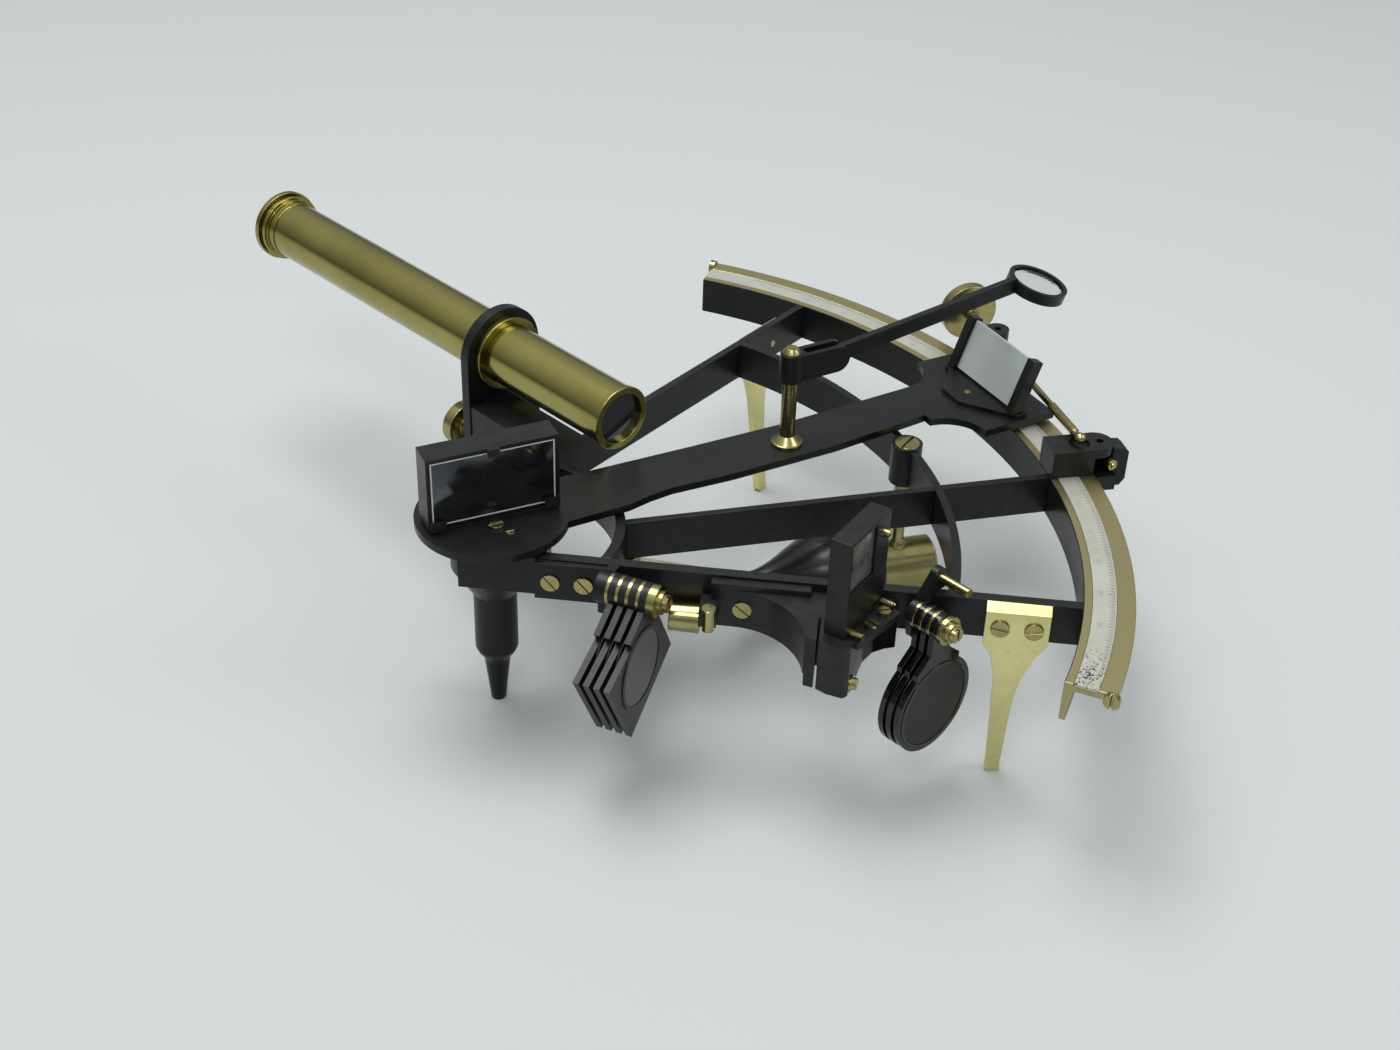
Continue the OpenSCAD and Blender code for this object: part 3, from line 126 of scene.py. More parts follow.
class Shader:
    """A small helper that builds a node tree around one principled shader."""

    # The part of the sum of two values from 0 to 1 that is carried to a roughness
    sum_low = 0.5
    sum_high = 1.5

    def __init__(self, name: str) -> None:
        """Starts an empty material.

        Args:
            name: the material's name.
        """
        self.material = bpy.data.materials.new(name)
        self.material.use_nodes = True
        self.tree = self.material.node_tree
        self.bsdf = self.tree.nodes["Principled BSDF"]
        self.coords = self.tree.nodes.new("ShaderNodeTexCoord").outputs["Object"]

    def node(self, kind: str, **settings: object) -> bpy.types.Node:
        """Adds a node and sets its properties.

        Args:
            kind: the node's type without its common prefix.
            settings: properties of the node.

        Returns:
            The new node.
        """
        made = self.tree.nodes.new("ShaderNode" + kind)
        for key, value in settings.items():
            setattr(made, key, value)
        return made

    def link(self, source: bpy.types.NodeSocket, target: bpy.types.NodeSocket) -> None:
        """Joins an output to an input."""
        self.tree.links.new(source, target)

    def mapped(self, scale: Triple, turn: Triple) -> bpy.types.NodeSocket:
        """Object coordinates, turned and then stretched.

        Args:
            scale: the stretch along each axis.
            turn: the turn in degrees about each axis.

        Returns:
            The vector output.
        """
        turned_node = self.node("Mapping")
        turned_node.inputs["Rotation"].default_value = [math.radians(t) for t in turn]
        self.link(self.coords, turned_node.inputs["Vector"])
        stretched = self.node("Mapping")
        stretched.inputs["Scale"].default_value = scale
        self.link(turned_node.outputs[0], stretched.inputs["Vector"])
        return stretched.outputs[0]

    def noise(self, grain: Grain, vector: bpy.types.NodeSocket | None = None) -> bpy.types.NodeSocket:
        """A noise texture's value on Object coordinates, or on a given vector."""
        made = self.node("TexNoise")
        made.inputs["Scale"].default_value = grain.scale
        made.inputs["Detail"].default_value = grain.detail
        made.inputs["Roughness"].default_value = grain.roughness
        self.link(vector or self.coords, made.inputs["Vector"])
        return made.outputs["Fac"]

    def remap(self, value: bpy.types.NodeSocket, span: Span) -> bpy.types.NodeSocket:
        """The value carried from one range to another and held inside it."""
        made = self.node("MapRange")
        made.inputs["From Min"].default_value = span.low
        made.inputs["From Max"].default_value = span.high
        made.inputs["To Min"].default_value = span.out_low
        made.inputs["To Max"].default_value = span.out_high
        self.link(value, made.inputs["Value"])
        return made.outputs["Result"]

    def math(
        self, kind: str, a: bpy.types.NodeSocket | float, b: bpy.types.NodeSocket | float
    ) -> bpy.types.NodeSocket:
        """One sum on two sockets or numbers."""
        made = self.node("Math", operation=kind)
        for socket, value in zip(made.inputs, (a, b)):
            if isinstance(value, bpy.types.NodeSocket):
                self.link(value, socket)
            else:
                socket.default_value = value
        return made.outputs[0]

    def mix(
        self,
        factor: bpy.types.NodeSocket,
        a: Triple | bpy.types.NodeSocket,
        b: Triple | bpy.types.NodeSocket,
    ) -> bpy.types.NodeSocket:
        """A mix of two colours, each a socket or a linear colour."""
        made = self.node("Mix", data_type="RGBA")
        self.link(factor, made.inputs["Factor"])
        for name, value in (("A", a), ("B", b)):
            target = [s for s in made.inputs if s.name == name and s.type == "RGBA"][0]
            if isinstance(value, bpy.types.NodeSocket):
                self.link(value, target)
            else:
                target.default_value = (*value, 1)
        return [s for s in made.outputs if s.type == "RGBA"][0]

    def edges(self, span: Span) -> bpy.types.NodeSocket:
        """High on worn convex edges, from the shape's pointiness."""
        return self.remap(self.node("NewGeometry").outputs["Pointiness"], span)

    def bump(self, height: bpy.types.NodeSocket, strength: float, distance: float) -> None:
        """Joins a height to the shader's normal."""
        made = self.node("Bump")
        made.inputs["Strength"].default_value = strength
        made.inputs["Distance"].default_value = distance
        self.link(height, made.inputs["Height"])
        self.link(made.outputs[0], self.bsdf.inputs["Normal"])

    def set(self, **numbers: float) -> None:
        """Sets the shader's own sockets, with underscores for spaces."""
        for key, value in numbers.items():
            self.bsdf.inputs[key.replace("_", " ")].default_value = value

    def colour(self, socket: bpy.types.NodeSocket) -> None:
        """Joins a colour to the base colour."""
        self.link(socket, self.bsdf.inputs["Base Color"])

    def rough(self, socket: bpy.types.NodeSocket, span: Span) -> None:
        """Joins a value to the roughness, carried to its range."""
        self.link(self.remap(socket, span), self.bsdf.inputs["Roughness"])

    def rough_sum(self, a: bpy.types.NodeSocket, b: bpy.types.NodeSocket, limits: Pair) -> None:
        """Joins the sum of two values from 0 to 1 to the roughness, carried to its limits."""
        self.rough(self.math("ADD", a, b), Span(self.sum_low, self.sum_high, *limits))


# Finishes


@dataclass(frozen=True)
class Lacquer:
    """Satin black lacquer on brass, rubbed paler along its edges."""

    name: str
    body: Triple = (0.0042, 0.0045, 0.0052)
    faded: Triple = (0.0068, 0.0071, 0.0078)
    worn: Triple = (0.04, 0.038, 0.032)
    rough: Pair = (0.3, 0.42)
    specular: float = 0.27
    wear: float = 0.35
    least_wear: float = 0.15
    cloud: Grain = Grain(38, 5)
    cloud_span: Span = Span(0.38, 0.66)
    grain: Grain = Grain(900, 3, 0.6)
    chip: Grain = Grain(260, 4)
    chip_limits: Pair = (0.4, 0.62)
    edge_span: Span = Span(0.52, 0.6)
    bump: float = 0.06
    bump_depth: float = 0.00005

    def build(self) -> bpy.types.Material:
        """Returns the material."""
        s = Shader(self.name)
        cloud = s.remap(s.noise(self.cloud), self.cloud_span)
        grain = s.noise(self.grain)
        base = s.mix(cloud, self.body, self.faded)
        chipped = s.remap(s.noise(self.chip), Span(*self.chip_limits, self.least_wear, self.wear))
        chips = s.math("MULTIPLY", s.edges(self.edge_span), chipped)
        s.colour(s.mix(chips, base, self.worn))
        s.rough_sum(cloud, grain, self.rough)
        s.bump(grain, self.bump, self.bump_depth)
        s.set(Specular_IOR_Level=self.specular)
        return s.material


@dataclass(frozen=True)
class Brass:
    """Brass with a clouded tint and a turned or drawn grain."""

    name: str
    bright: Triple
    dull: Triple
    rough: Pair
    cloud_scale: float
    grain: Triple = (5200, 5200, 5200)
    turn: Triple = (0, 0, 0)
    bump_depth: float = 0.00004
    stain: float = 0.4
    stain_share: float = 0.35
    cloud_detail: float = 6
    cloud_rough: float = 0.6
    cloud_span: Span = Span(0.36, 0.68)
    drawn: Grain = Grain(1, 3, 0.5)
    speck: Grain = Grain(420, 2, 0.5)
    speck_limits: Pair = (0.68, 0.74)
    bump: float = 0.04

    def build(self) -> bpy.types.Material:
        """Returns the material."""
        s = Shader(self.name)
        cloud = s.remap(
            s.noise(Grain(self.cloud_scale, self.cloud_detail, self.cloud_rough)), self.cloud_span
        )
        drawn = s.noise(self.drawn, s.mapped(self.grain, self.turn))
        tinted = s.mix(cloud, self.bright, self.dull)
        specks = s.remap(s.noise(self.speck), Span(*self.speck_limits, 0, self.stain))
        stain = tuple(self.stain_share * c for c in self.dull)
        s.colour(s.mix(specks, tinted, stain))
        s.rough_sum(cloud, drawn, self.rough)
        s.bump(drawn, self.bump, self.bump_depth)
        s.set(Metallic=1.0)
        return s.material


@dataclass(frozen=True)
class Silver:
    """The matt silver strip, with a worn and spotted place near the limb's front end, in metres."""

    name: str
    pale: Triple = (0.55, 0.55, 0.475)
    grey: Triple = (0.43, 0.425, 0.355)
    spot: Triple = (0.05, 0.05, 0.045)
    spot_place: Triple = (0.1385, -0.1345, 0.071)
    spot_reach: float = 0.017
    spot_gain: float = 0.19
    dot: Grain = Grain(1500, 3, 0.6)
    dot_span: Span = Span(0.68, 0.72)
    cloud: Grain = Grain(70, 5, 0.6)
    cloud_span: Span = Span(0.35, 0.7)
    rough: Pair = (0.36, 0.5)
    grain: Grain = Grain(1400, 3)
    bump: float = 0.15
    bump_depth: float = 0.00003
    metallic: float = 0.55

    def build(self) -> bpy.types.Material:
        """Returns the material."""
        s = Shader(self.name)
        cloud = s.remap(s.noise(self.cloud), self.cloud_span)
        away = s.node("VectorMath", operation="DISTANCE")
        s.link(s.coords, away.inputs[0])
        away.inputs[1].default_value = self.spot_place
        near = s.remap(away.outputs["Value"], Span(0, self.spot_reach, self.spot_gain, 0))
        dots = s.remap(s.math("ADD", s.noise(self.dot), near), self.dot_span)
        base = s.mix(cloud, self.pale, self.grey)
        s.colour(s.mix(dots, base, self.spot))
        s.rough(cloud, Span(0, 1, *self.rough))
        s.bump(s.noise(self.grain), self.bump, self.bump_depth)
        s.set(Metallic=self.metallic)
        return s.material


@dataclass(frozen=True)
class Glass:
    """Clear glass with faint smears."""

    name: str
    tint: Triple = (0.93, 0.96, 0.95)
    rough: Pair = (0.02, 0.07)
    transmission: float = 1.0
    ior: float = 1.5
    dust: float = 0.12
    dust_share: float = 0.9
    dust_lift: float = 0.04
    smear: Grain = Grain(120, 4, 0.6)
    smear_span: Span = Span(0.45, 0.75)

    def build(self) -> bpy.types.Material:
        """Returns the material."""
        s = Shader(self.name)
        smear = s.remap(s.noise(self.smear), self.smear_span)
        dusty = tuple(min(1.0, self.dust_share * c + self.dust_lift) for c in self.tint)
        s.colour(s.mix(s.math("MULTIPLY", smear, self.dust), self.tint, dusty))
        s.rough(smear, Span(0, 1, *self.rough))
        s.set(Transmission_Weight=self.transmission, IOR=self.ior)
        return s.material


@dataclass(frozen=True)
class Mirror:
    """Silvered glass seen over its dark holder."""

    name: str
    tint: Triple = (0.1, 0.105, 0.11)
    aged: Triple = (0.045, 0.048, 0.052)
    metallic: float = 0.9
    cloud: Grain = Grain(60, 6, 0.65)
    cloud_span: Span = Span(0.4, 0.68)
    smear: Grain = Grain(300, 4)
    smear_span: Span = Span(0.3, 0.7, 0.03, 0.12)

    def build(self) -> bpy.types.Material:
        """Returns the material."""
        s = Shader(self.name)
        cloud = s.remap(s.noise(self.cloud), self.cloud_span)
        s.colour(s.mix(cloud, self.tint, self.aged))
        s.rough(s.noise(self.smear), self.smear_span)
        s.set(Metallic=self.metallic)
        return s.material


@dataclass(frozen=True)
class Paint:
    """A plain painted or matt surface with a slight cloud in it."""

    name: str
    colour: Triple
    rough: float
    cloud: float = 0.12
    scale: float = 80
    metallic: float = 0.0
    coat: float = 0.0
    coat_rough: float = 0.06
    cloud_span: Span = Span(0.35, 0.65)
    rough_share: Pair = (0.9, 1.1)
    grain_share: float = 12
    grain_detail: float = 3
    bump: float = 0.08
    bump_depth: float = 0.00005

    def build(self) -> bpy.types.Material:
        """Returns the material."""
        s = Shader(self.name)
        cloud = s.remap(s.noise(Grain(self.scale)), self.cloud_span)
        darker = tuple(c * (1 - self.cloud) for c in self.colour)
        s.colour(s.mix(cloud, self.colour, darker))
        s.rough(cloud, Span(0, 1, *(self.rough * share for share in self.rough_share)))
        grain = s.noise(Grain(self.scale * self.grain_share, self.grain_detail))
        s.bump(grain, self.bump, self.bump_depth)
        s.set(Metallic=self.metallic, Coat_Weight=self.coat, Coat_Roughness=self.coat_rough)
        return s.material


class Finishes:
    """Every finish of the instrument, built once."""

    # The turn in degrees that lays the tube's drawn grain along the telescope
    tube_turn = (0, 0, 68.6)

    def __init__(self) -> None:
        """Builds the materials."""
        self.black = Lacquer("black lacquer").build()
        self.shade_black = Lacquer(
            "shade lacquer", body=(0.0048, 0.005, 0.006), faded=(0.0075, 0.0078, 0.009), wear=0.2
        ).build()
        self.limb_brass = Brass(
            "limb brass", (0.44, 0.385, 0.2), (0.36, 0.31, 0.145), rough=(0.34, 0.46), cloud_scale=60,
            stain=0.25,
        ).build()
        self.old_brass = Brass(
            "old brass", (0.42, 0.37, 0.165), (0.3, 0.26, 0.105), rough=(0.2, 0.32), cloud_scale=120
        ).build()
        self.tube_brass = Brass(
            "lacquered tube brass", (0.385, 0.34, 0.11), (0.3, 0.265, 0.08), rough=(0.15, 0.23),
            cloud_scale=30, grain=(300, 6000, 6000), turn=self.tube_turn, bump_depth=0.00001, stain=0.15,
        ).build()
        self.leg_brass = Brass(
            "polished leg brass", (0.78, 0.715, 0.345), (0.66, 0.6, 0.265), rough=(0.22, 0.34),
            cloud_scale=50, grain=(4200, 4200, 700), bump_depth=0.00001, stain=0.15,
        ).build()
        self.ferrule_brass = Brass(
            "ferrule brass", (0.38, 0.335, 0.15), (0.29, 0.25, 0.105), rough=(0.26, 0.38), cloud_scale=140
        ).build()
        self.silver = Silver("matt silver").build()
        self.mark = Paint("engraved lines", (0.11, 0.105, 0.09), rough=0.6).build()
        self.number = Paint("worn numbers", (0.26, 0.25, 0.215), rough=0.6).build()
        self.steel = Paint(
            "turned steel", (0.45, 0.45, 0.46), rough=0.3, cloud=0.2, scale=200, metallic=1.0
        ).build()
        self.clear = Glass("clear glass").build()
        # Painted shade: the objective lens is an opaque glossy black that stands in for the shaded inside
        # of the tube seen through the glass
        self.objective = Paint(
            "objective painted black as shade inside the tube", (0.012, 0.013, 0.014), rough=0.05, cloud=0.2, scale=60, coat=1.0
        ).build()
        self.dark_glass = Paint(
            "dark shade glass", (0.0045, 0.0045, 0.0055), rough=0.12, cloud=0.2, scale=60
        ).build()
        self.streaked = Paint(
            "streaked horizon glass", (0.2, 0.205, 0.19), rough=0.22, cloud=0.6, scale=160, metallic=0.35
        ).build()
        self.mirror = Mirror("silvered mirror").build()
        self.mirror_edge = Paint("white mirror edge", (0.56, 0.56, 0.54), rough=0.5).build()
        self.ground = Paint("ground glass", (0.39, 0.43, 0.405), rough=0.55, cloud=0.14, scale=40).build()
        self.grip = Paint(
            "black varnish", (0.006, 0.006, 0.0065), rough=0.34, cloud=0.2, scale=60, coat=0.12
        ).build()
        self.socket = Paint("blackened inside", (0.006, 0.006, 0.006), rough=0.7).build()


# Modelling helpers


def deselect() -> None:
    """Deselects every object and leaves edit mode."""
    if bpy.context.mode != "OBJECT":
        bpy.ops.object.mode_set(mode="OBJECT")
    bpy.ops.object.select_all(action="DESELECT")


def take(piece: bpy.types.Object) -> None:
    """Makes a piece the only selected and active object."""
    deselect()
    piece.select_set(True)
    bpy.context.view_layer.objects.active = piece


def smooth(piece: bpy.types.Object, angle: float) -> None:
    """Shades a piece smooth up to an angle in degrees."""
    take(piece)
    bpy.ops.object.shade_smooth_by_angle(angle=math.radians(angle))


def settle(piece: bpy.types.Object) -> None:
    """Puts a piece's place into its mesh."""
    take(piece)
    bpy.ops.object.transform_apply(location=True, rotation=True, scale=True)


def modify(piece: bpy.types.Object, kind: str, **settings: object) -> None:
    """Adds a modifier and applies it.

    Args:
        piece: the piece to change.
        kind: the modifier's type.
        settings: the modifier's properties.
    """
    take(piece)
    made = piece.modifiers.new(kind.lower(), kind)
    for key, value in settings.items():
        setattr(made, key, value)
    bpy.ops.object.modifier_apply(modifier=made.name)


def dress(
    piece: bpy.types.Object,
    body: str,
    slot: Slot,
    *materials: bpy.types.Material,
    replaces: tuple[str, ...] = (),
) -> bpy.types.Object:
    """Gives a piece its materials and its body, and hides the nodes that it stands for.

    Args:
        piece: the finished piece.
        body: the body that it rides on.
        slot: the record's slot of its finish; not used.
        materials: its materials in slot order.
        replaces: names of the nodes that it replaces.

    Returns:
        The piece.
    """
    piece.data.materials.clear()
    for material in materials:
        piece.data.materials.append(material)
    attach(piece, body)
    if replaces:
        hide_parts(*replaces)
    log.info("piece %s on body %s: %d faces", piece.name, body, len(piece.data.polygons))
    return piece


def softened(
    frame: dict, node: str, name: str, width: float, segments: int = 2, flat: float = FLAT
) -> bpy.types.Object:
    """A copy of a node's mesh with its sharp edges broken, as a file or a polish leaves them.

    Args:
        node: the node to copy.
        name: the new piece's name.
        width: the width of the broken edge in millimetres.
        segments: how many faces round the edge.
        flat: how far in degrees the faces that merge into one may lean.

    Returns:
        The new piece, at the origin.
    """
    piece = bpy.data.objects.new(name, frame["nodes"][node].data.copy())
    bpy.context.scene.collection.objects.link(piece)
    piece.data.materials.clear()
    take(piece)
    bpy.ops.object.mode_set(mode="EDIT")
    bpy.ops.mesh.select_all(action="SELECT")
    bpy.ops.mesh.remove_doubles(threshold=COPY_WELD)
    bpy.ops.mesh.dissolve_limited(angle_limit=math.radians(flat))
    bpy.ops.object.mode_set(mode="OBJECT")
    modify(
        piece, "BEVEL", width=width * MM, segments=segments, limit_method="ANGLE",
        angle_limit=math.radians(BROKEN_ANGLE), use_clamp_overlap=True, miter_outer="MITER_ARC",
        loop_slide=False,
    )
    smooth(piece, COPY_SMOOTH)
    modify(piece, "WEIGHTED_NORMAL", keep_sharp=True, weight=NORMAL_WEIGHT)
    return piece


@dataclass(frozen=True)
class Coat:
    """How a node is copied and dressed: its body, slot and finish, and its broken edges."""

    node: str
    body: str
    slot: Slot
    finish: bpy.types.Material
    width: float = 0.3
    segments: int = 2
    flat: float = FLAT

    def build(self, frame: dict, ending: str) -> bpy.types.Object:
        """Puts the dressed copy in the node's place.

        Args:
            ending: what follows the node's name in the new piece's name.

        Returns:
            The new piece.
        """
        name = f"{self.node}_{ending}"
        piece = softened(frame, self.node, name, self.width, self.segments, self.flat)
        return dress(piece, self.body, self.slot, self.finish, replaces=(self.node,))


def paint_node(frame: dict, node: str, material: bpy.types.Material) -> None:
    """Gives a node that is shown as it was imported its finish."""
    frame["nodes"][node].data.materials[0] = material


def paint_island(piece: bpy.types.Object, material: bpy.types.Material) -> None:
    """Adds a material to a piece and gives it to the smallest of its loose parts.

    Args:
        piece: a dressed piece of two or more loose parts.
        material: the finish of the smallest one.
    """
    piece.data.materials.append(material)
    take(piece)
    bpy.ops.object.mode_set(mode="EDIT")
    mesh = bmesh.from_edit_mesh(piece.data)
    left = set(mesh.faces)
    islands = []
    while left:
        reached = {left.pop()}
        edge = list(reached)
        while edge:
            near = {f for e in edge.pop().edges for f in e.link_faces} & left
            left -= near
            reached |= near
            edge.extend(near)
        islands.append(reached)
    if len(islands) > 1:
        for face in min(islands, key=lambda island: sum(f.calc_area() for f in island)):
            face.material_index = len(piece.data.materials) - 1
    bmesh.update_edit_mesh(piece.data)
    bpy.ops.object.mode_set(mode="OBJECT")


@dataclass(frozen=True)
class Place:
    """A turned place in the instrument: an origin and a main axis, with its side turned upwards."""

    origin: Vector
    axis: Vector

    def matrix(self) -> Matrix:
        """The matrix whose z is the main axis and whose x points up as far as it can."""
        z = self.axis.normalized()
        x = (UP - UP.dot(z) * z).normalized()
        y = z.cross(x)
        return Matrix.Translation(self.origin) @ Matrix((x, y, z)).transposed().to_4x4()


def heading(azimuth: float) -> Vector:
    """The level direction at an azimuth in degrees."""
    return Vector((math.cos(math.radians(azimuth)), math.sin(math.radians(azimuth)), 0))


def turned(
    name: str, profile: list[Pair] | tuple[Pair, ...], place: Place, steps: int = 64
) -> bpy.types.Object:
    """A turned piece: a profile of (radius, height) in millimetres, spun about the place's axis.

    Args:
        name: the piece's name.
        profile: points from the axis at the low end to the axis at the high end, or a closed ring.
        place: where the axis lies.
        steps: how many faces round it.

    Returns:
        The piece, with its place in its mesh.
    """
    deselect()
    bpy.ops.mesh.primitive_plane_add(size=1, location=(0, 0, 0))
    piece = bpy.context.object
    piece.name = name
    mesh = bmesh.new()
    ring = [mesh.verts.new((r * MM, 0, h * MM)) for r, h in profile]
    for a, b in zip(ring, ring[1:]):
        mesh.edges.new((a, b))
    if profile[0][0] > 0 or profile[-1][0] > 0:
        mesh.edges.new((ring[-1], ring[0]))
    mesh.to_mesh(piece.data)
    mesh.free()
    take(piece)
    bpy.ops.object.mode_set(mode="EDIT")
    bpy.ops.mesh.select_all(action="SELECT")
    bpy.ops.mesh.spin(steps=steps, angle=2 * math.pi, center=(0, 0, 0), axis=UP)
    bpy.ops.mesh.select_all(action="SELECT")
    bpy.ops.mesh.remove_doubles(threshold=SPIN_WELD)
    bpy.ops.mesh.normals_make_consistent(inside=False)
    bpy.ops.object.mode_set(mode="OBJECT")
    piece.data.transform(place.matrix())
    smooth(piece, SPIN_SMOOTH)
    return piece


# Sub-assemblies


@dataclass(frozen=True)
class TickRow:
    """A row of engraved lines: where they start, and their first, last and next readings."""

    name: str
    low_r: float
    first: float
    last: float
    step: float


@dataclass
class LimbAndScale:
    """The limb with its silver strip, engraved marks and numbers.

    wall_reach, hollow_in and hollow_down say where its lacquered faces lie, from the inner radius and
    from the top, and wall_lean and side_lean how far those faces turn.
    """

    finishes: Finishes
    inner_r: float = 188.0
    top_z: float = 71.0
    zero_az: float = 38.2
    wall_reach: float = 0.6
    hollow_in: float = 1.0
    hollow_down: float = 2.6
    wall_lean: float = 0.3
    side_lean: float = 0.7
    tick_high_r: float = 197.8
    tick_w: float = 0.16
    tick_h: float = 0.03
    rows: tuple[TickRow, ...] = (
        TickRow("fine_marks", 196.5, -5, 165, 0.5),
        TickRow("degree_marks", 195.9, -5, 160, 1),
        TickRow("ten_degree_marks", 195.3, 0, 160, 10),
    )
    number_r: float = 194.0
    number_size: float = 2.1
    number_h: float = 0.015
    number_last: int = 150
    number_step: int = 10

    def build(self, frame: dict) -> None:
        """Builds the limb, its strip and its marks."""
        limb = softened(frame, "limb", "limb_casting", 0.3)
        dress(
            limb, "frame", Slot.OLD_BRASS, self.finishes.limb_brass, self.finishes.black,
            replaces=("limb",),
        )
        for face in limb.data.polygons:
            face.material_index = int(self.is_lacquered(face))
        paint_node(frame, "silver_scale", self.finishes.silver)
        for row in self.rows:
            self.ticks(row)
        self.numbers()

    def is_lacquered(self, face: bpy.types.MeshPolygon) -> bool:
        """Whether a face is black: the inner wall, the hollow below and what faces down."""
        centre = face.center / MM
        reach = math.hypot(centre.x, centre.y)
        radial = Vector((centre.x, centre.y, 0)).normalized()
        inward = radial.dot(face.normal) < -self.wall_lean and reach < self.inner_r + self.wall_reach
        hollow = reach > self.inner_r + self.hollow_in and centre.z < self.top_z - self.hollow_down
        below = face.normal.z < -self.side_lean
        across = abs(radial.cross(face.normal).z) > self.side_lean
        return (inward or hollow or below) and not across

    def azimuth(self, reading: float) -> float:
        """The azimuth in degrees of a reading of the scale."""
        return self.zero_az - reading / 2

    def ticks(self, row: TickRow) -> None:
        """Engraves one row of lines, spun from a single line."""
        count = int((row.last - row.first) / row.step)
        deselect()
        middle = (row.low_r + self.tick_high_r) / 2 * MM
        bpy.ops.mesh.primitive_cube_add(size=1, location=(middle, 0, 0))
        line = bpy.context.object
        line.name = row.name
        line.scale = ((self.tick_high_r - row.low_r) * MM, self.tick_w * MM, self.tick_h * MM)
        line.location.z = self.top_z * MM
        settle(line)
        line.data.transform(Matrix.Rotation(math.radians(self.azimuth(row.first)), 4, "Z"))
        bpy.ops.object.mode_set(mode="EDIT")
        bpy.ops.mesh.select_all(action="SELECT")
        sweep = math.radians(row.step / 2 * count)
        bpy.ops.mesh.spin(steps=count, dupli=True, angle=sweep, center=(0, 0, 0), axis=UP)
        bpy.ops.object.mode_set(mode="OBJECT")
        dress(line, "frame", Slot.SILVER, self.finishes.mark)

    def number(self, reading: int) -> bpy.types.Object:
        """The number of one reading, upright when read from outside the limb."""
        deselect()
        bpy.ops.object.text_add(location=(0, 0, 0))
        word = bpy.context.object
        word.data.body = str(reading)
        word.data.size = self.number_size * MM
        word.data.align_x = "CENTER"
        word.data.resolution_u = 2
        word.data.extrude = self.number_h * MM
        bpy.ops.object.convert(target="MESH")
        word = bpy.context.object
        az = self.azimuth(reading)
        spot = heading(az) * self.number_r * MM + Vector((0, 0, self.top_z * MM))
        up = -heading(az)
        right = up.cross(UP)
        axes = Matrix((right, up, right.cross(up))).transposed().to_4x4()
        word.data.transform(Matrix.Translation(spot) @ axes)
        return word

    def numbers(self) -> None:
        """The numbers of every tenth degree, as one piece."""
        made = [self.number(reading) for reading in range(0, self.number_last + 1, self.number_step)]
        deselect()
        for word in made:
            word.select_set(True)
        bpy.context.view_layer.objects.active = made[0]
        bpy.ops.object.join()
        numbers = bpy.context.object
        numbers.name = "scale_numbers"
        dress(numbers, "frame", Slot.SILVER, self.finishes.number)


@dataclass
class FrameCasting:
    """The black frame: bars, braces, boss, foot, brackets, legs and screws."""

    finishes: Finishes
    bars: tuple[str, ...] = (
        "front_radial", "back_radial", "mid_radial", "outer_arc_brace", "inner_arc_brace", "frame_boss",
        "axis_cover", "telescope_bracket", "index_shade_mount", "horizon_shade_mount",
    )
    bar_flat: float = 0.1
    legs: tuple[str, ...] = ("front_leg", "back_leg")
    leg_edge: float = 0.2
    screws: tuple[str, ...] = (
        "leg_screws", "stop_screws", "horizon_screws", "index_shade_pivot", "horizon_shade_pivot",
        "side_stud", "handle_screws",
    )
    bright_screws: tuple[str, ...] = ("leg_screws", "handle_screws")
    screw_edge: float = 0.12

    def build(self, frame: dict) -> None:
        """Builds the castings, the legs and the screws."""
        f = self.finishes
        for node in self.bars:
            Coat(node, "frame", Slot.BLACK, f.black, flat=self.bar_flat).build(frame, "casting")
        paint_node(frame, "horizon_bracket", f.black)
        for node in self.legs:
            Coat(node, "frame", Slot.BRASS, f.leg_brass, self.leg_edge).build(frame, "plate")
        for node in self.screws:
            slot = Slot.BRASS if node in self.bright_screws else Slot.OLD_BRASS
            Coat(node, "frame", slot, f.old_brass, self.screw_edge, segments=1).build(frame, "turned")


@dataclass
class HandleSet:
    """The varnished grip, its ferrule, pillar and strap.

    The grip's axis passes through the origin, inside the pillar. Its slim end lies at low on it.
    """

    finishes: Finishes
    origin: Triple = (148.62, -2.85, 20.2)
    azimuth: float = -8.0
    low: float = -56.5
    length: float = 50.0
    end_r: float = 4.0
    belly_r: float = 16.0
    neck_r: float = 9.5
    belly_share: float = 0.62
    stations: int = 32
    faces_round: int = 96

    def profile(self) -> list[Pair]:
        """The grip's outline: it swells to its belly and falls to the ferrule."""
        outline = [(0, self.low)]
        for k in range(self.stations + 1):
            share = k / self.stations
            if share < self.belly_share:
                near = math.sin(math.pi / 2 * share / self.belly_share) ** 2
                radius = self.end_r + (self.belly_r - self.end_r) * near
            else:
                past = (share - self.belly_share) / (1 - self.belly_share)
                near = math.cos(math.pi / 2 * past) ** 2
                radius = self.neck_r + (self.belly_r - self.neck_r) * near
            outline.append((radius, self.low + share * self.length))
        return [*outline, (0, self.low + self.length)]

    def build(self, frame: dict) -> None:
        """Builds the handle."""
        f = self.finishes
        place = Place(Vector(self.origin) * MM, heading(self.azimuth))
        grip = turned("grip_turned", self.profile(), place, self.faces_round)
        dress(grip, "frame", Slot.GRIP, f.grip, replaces=("handle_grip",))
        for coat in (
            Coat("handle_ferrule", "frame", Slot.BRASS, f.ferrule_brass),
            Coat("handle_pillar", "frame", Slot.BRASS, f.old_brass),
            Coat("handle_bracket", "frame", Slot.OLD_BRASS, f.old_brass),
        ):
            coat.build(frame, "turned")


@dataclass
class HorizonGlassSet:
    """The horizon glass in its box."""

    finishes: Finishes

    def build(self, frame: dict) -> None:
        """Builds the box and its glass."""
        Coat("horizon_box", "frame", Slot.BLACK, self.finishes.black).build(frame, "casting")
        paint_node(frame, "horizon_glass", self.finishes.streaked)


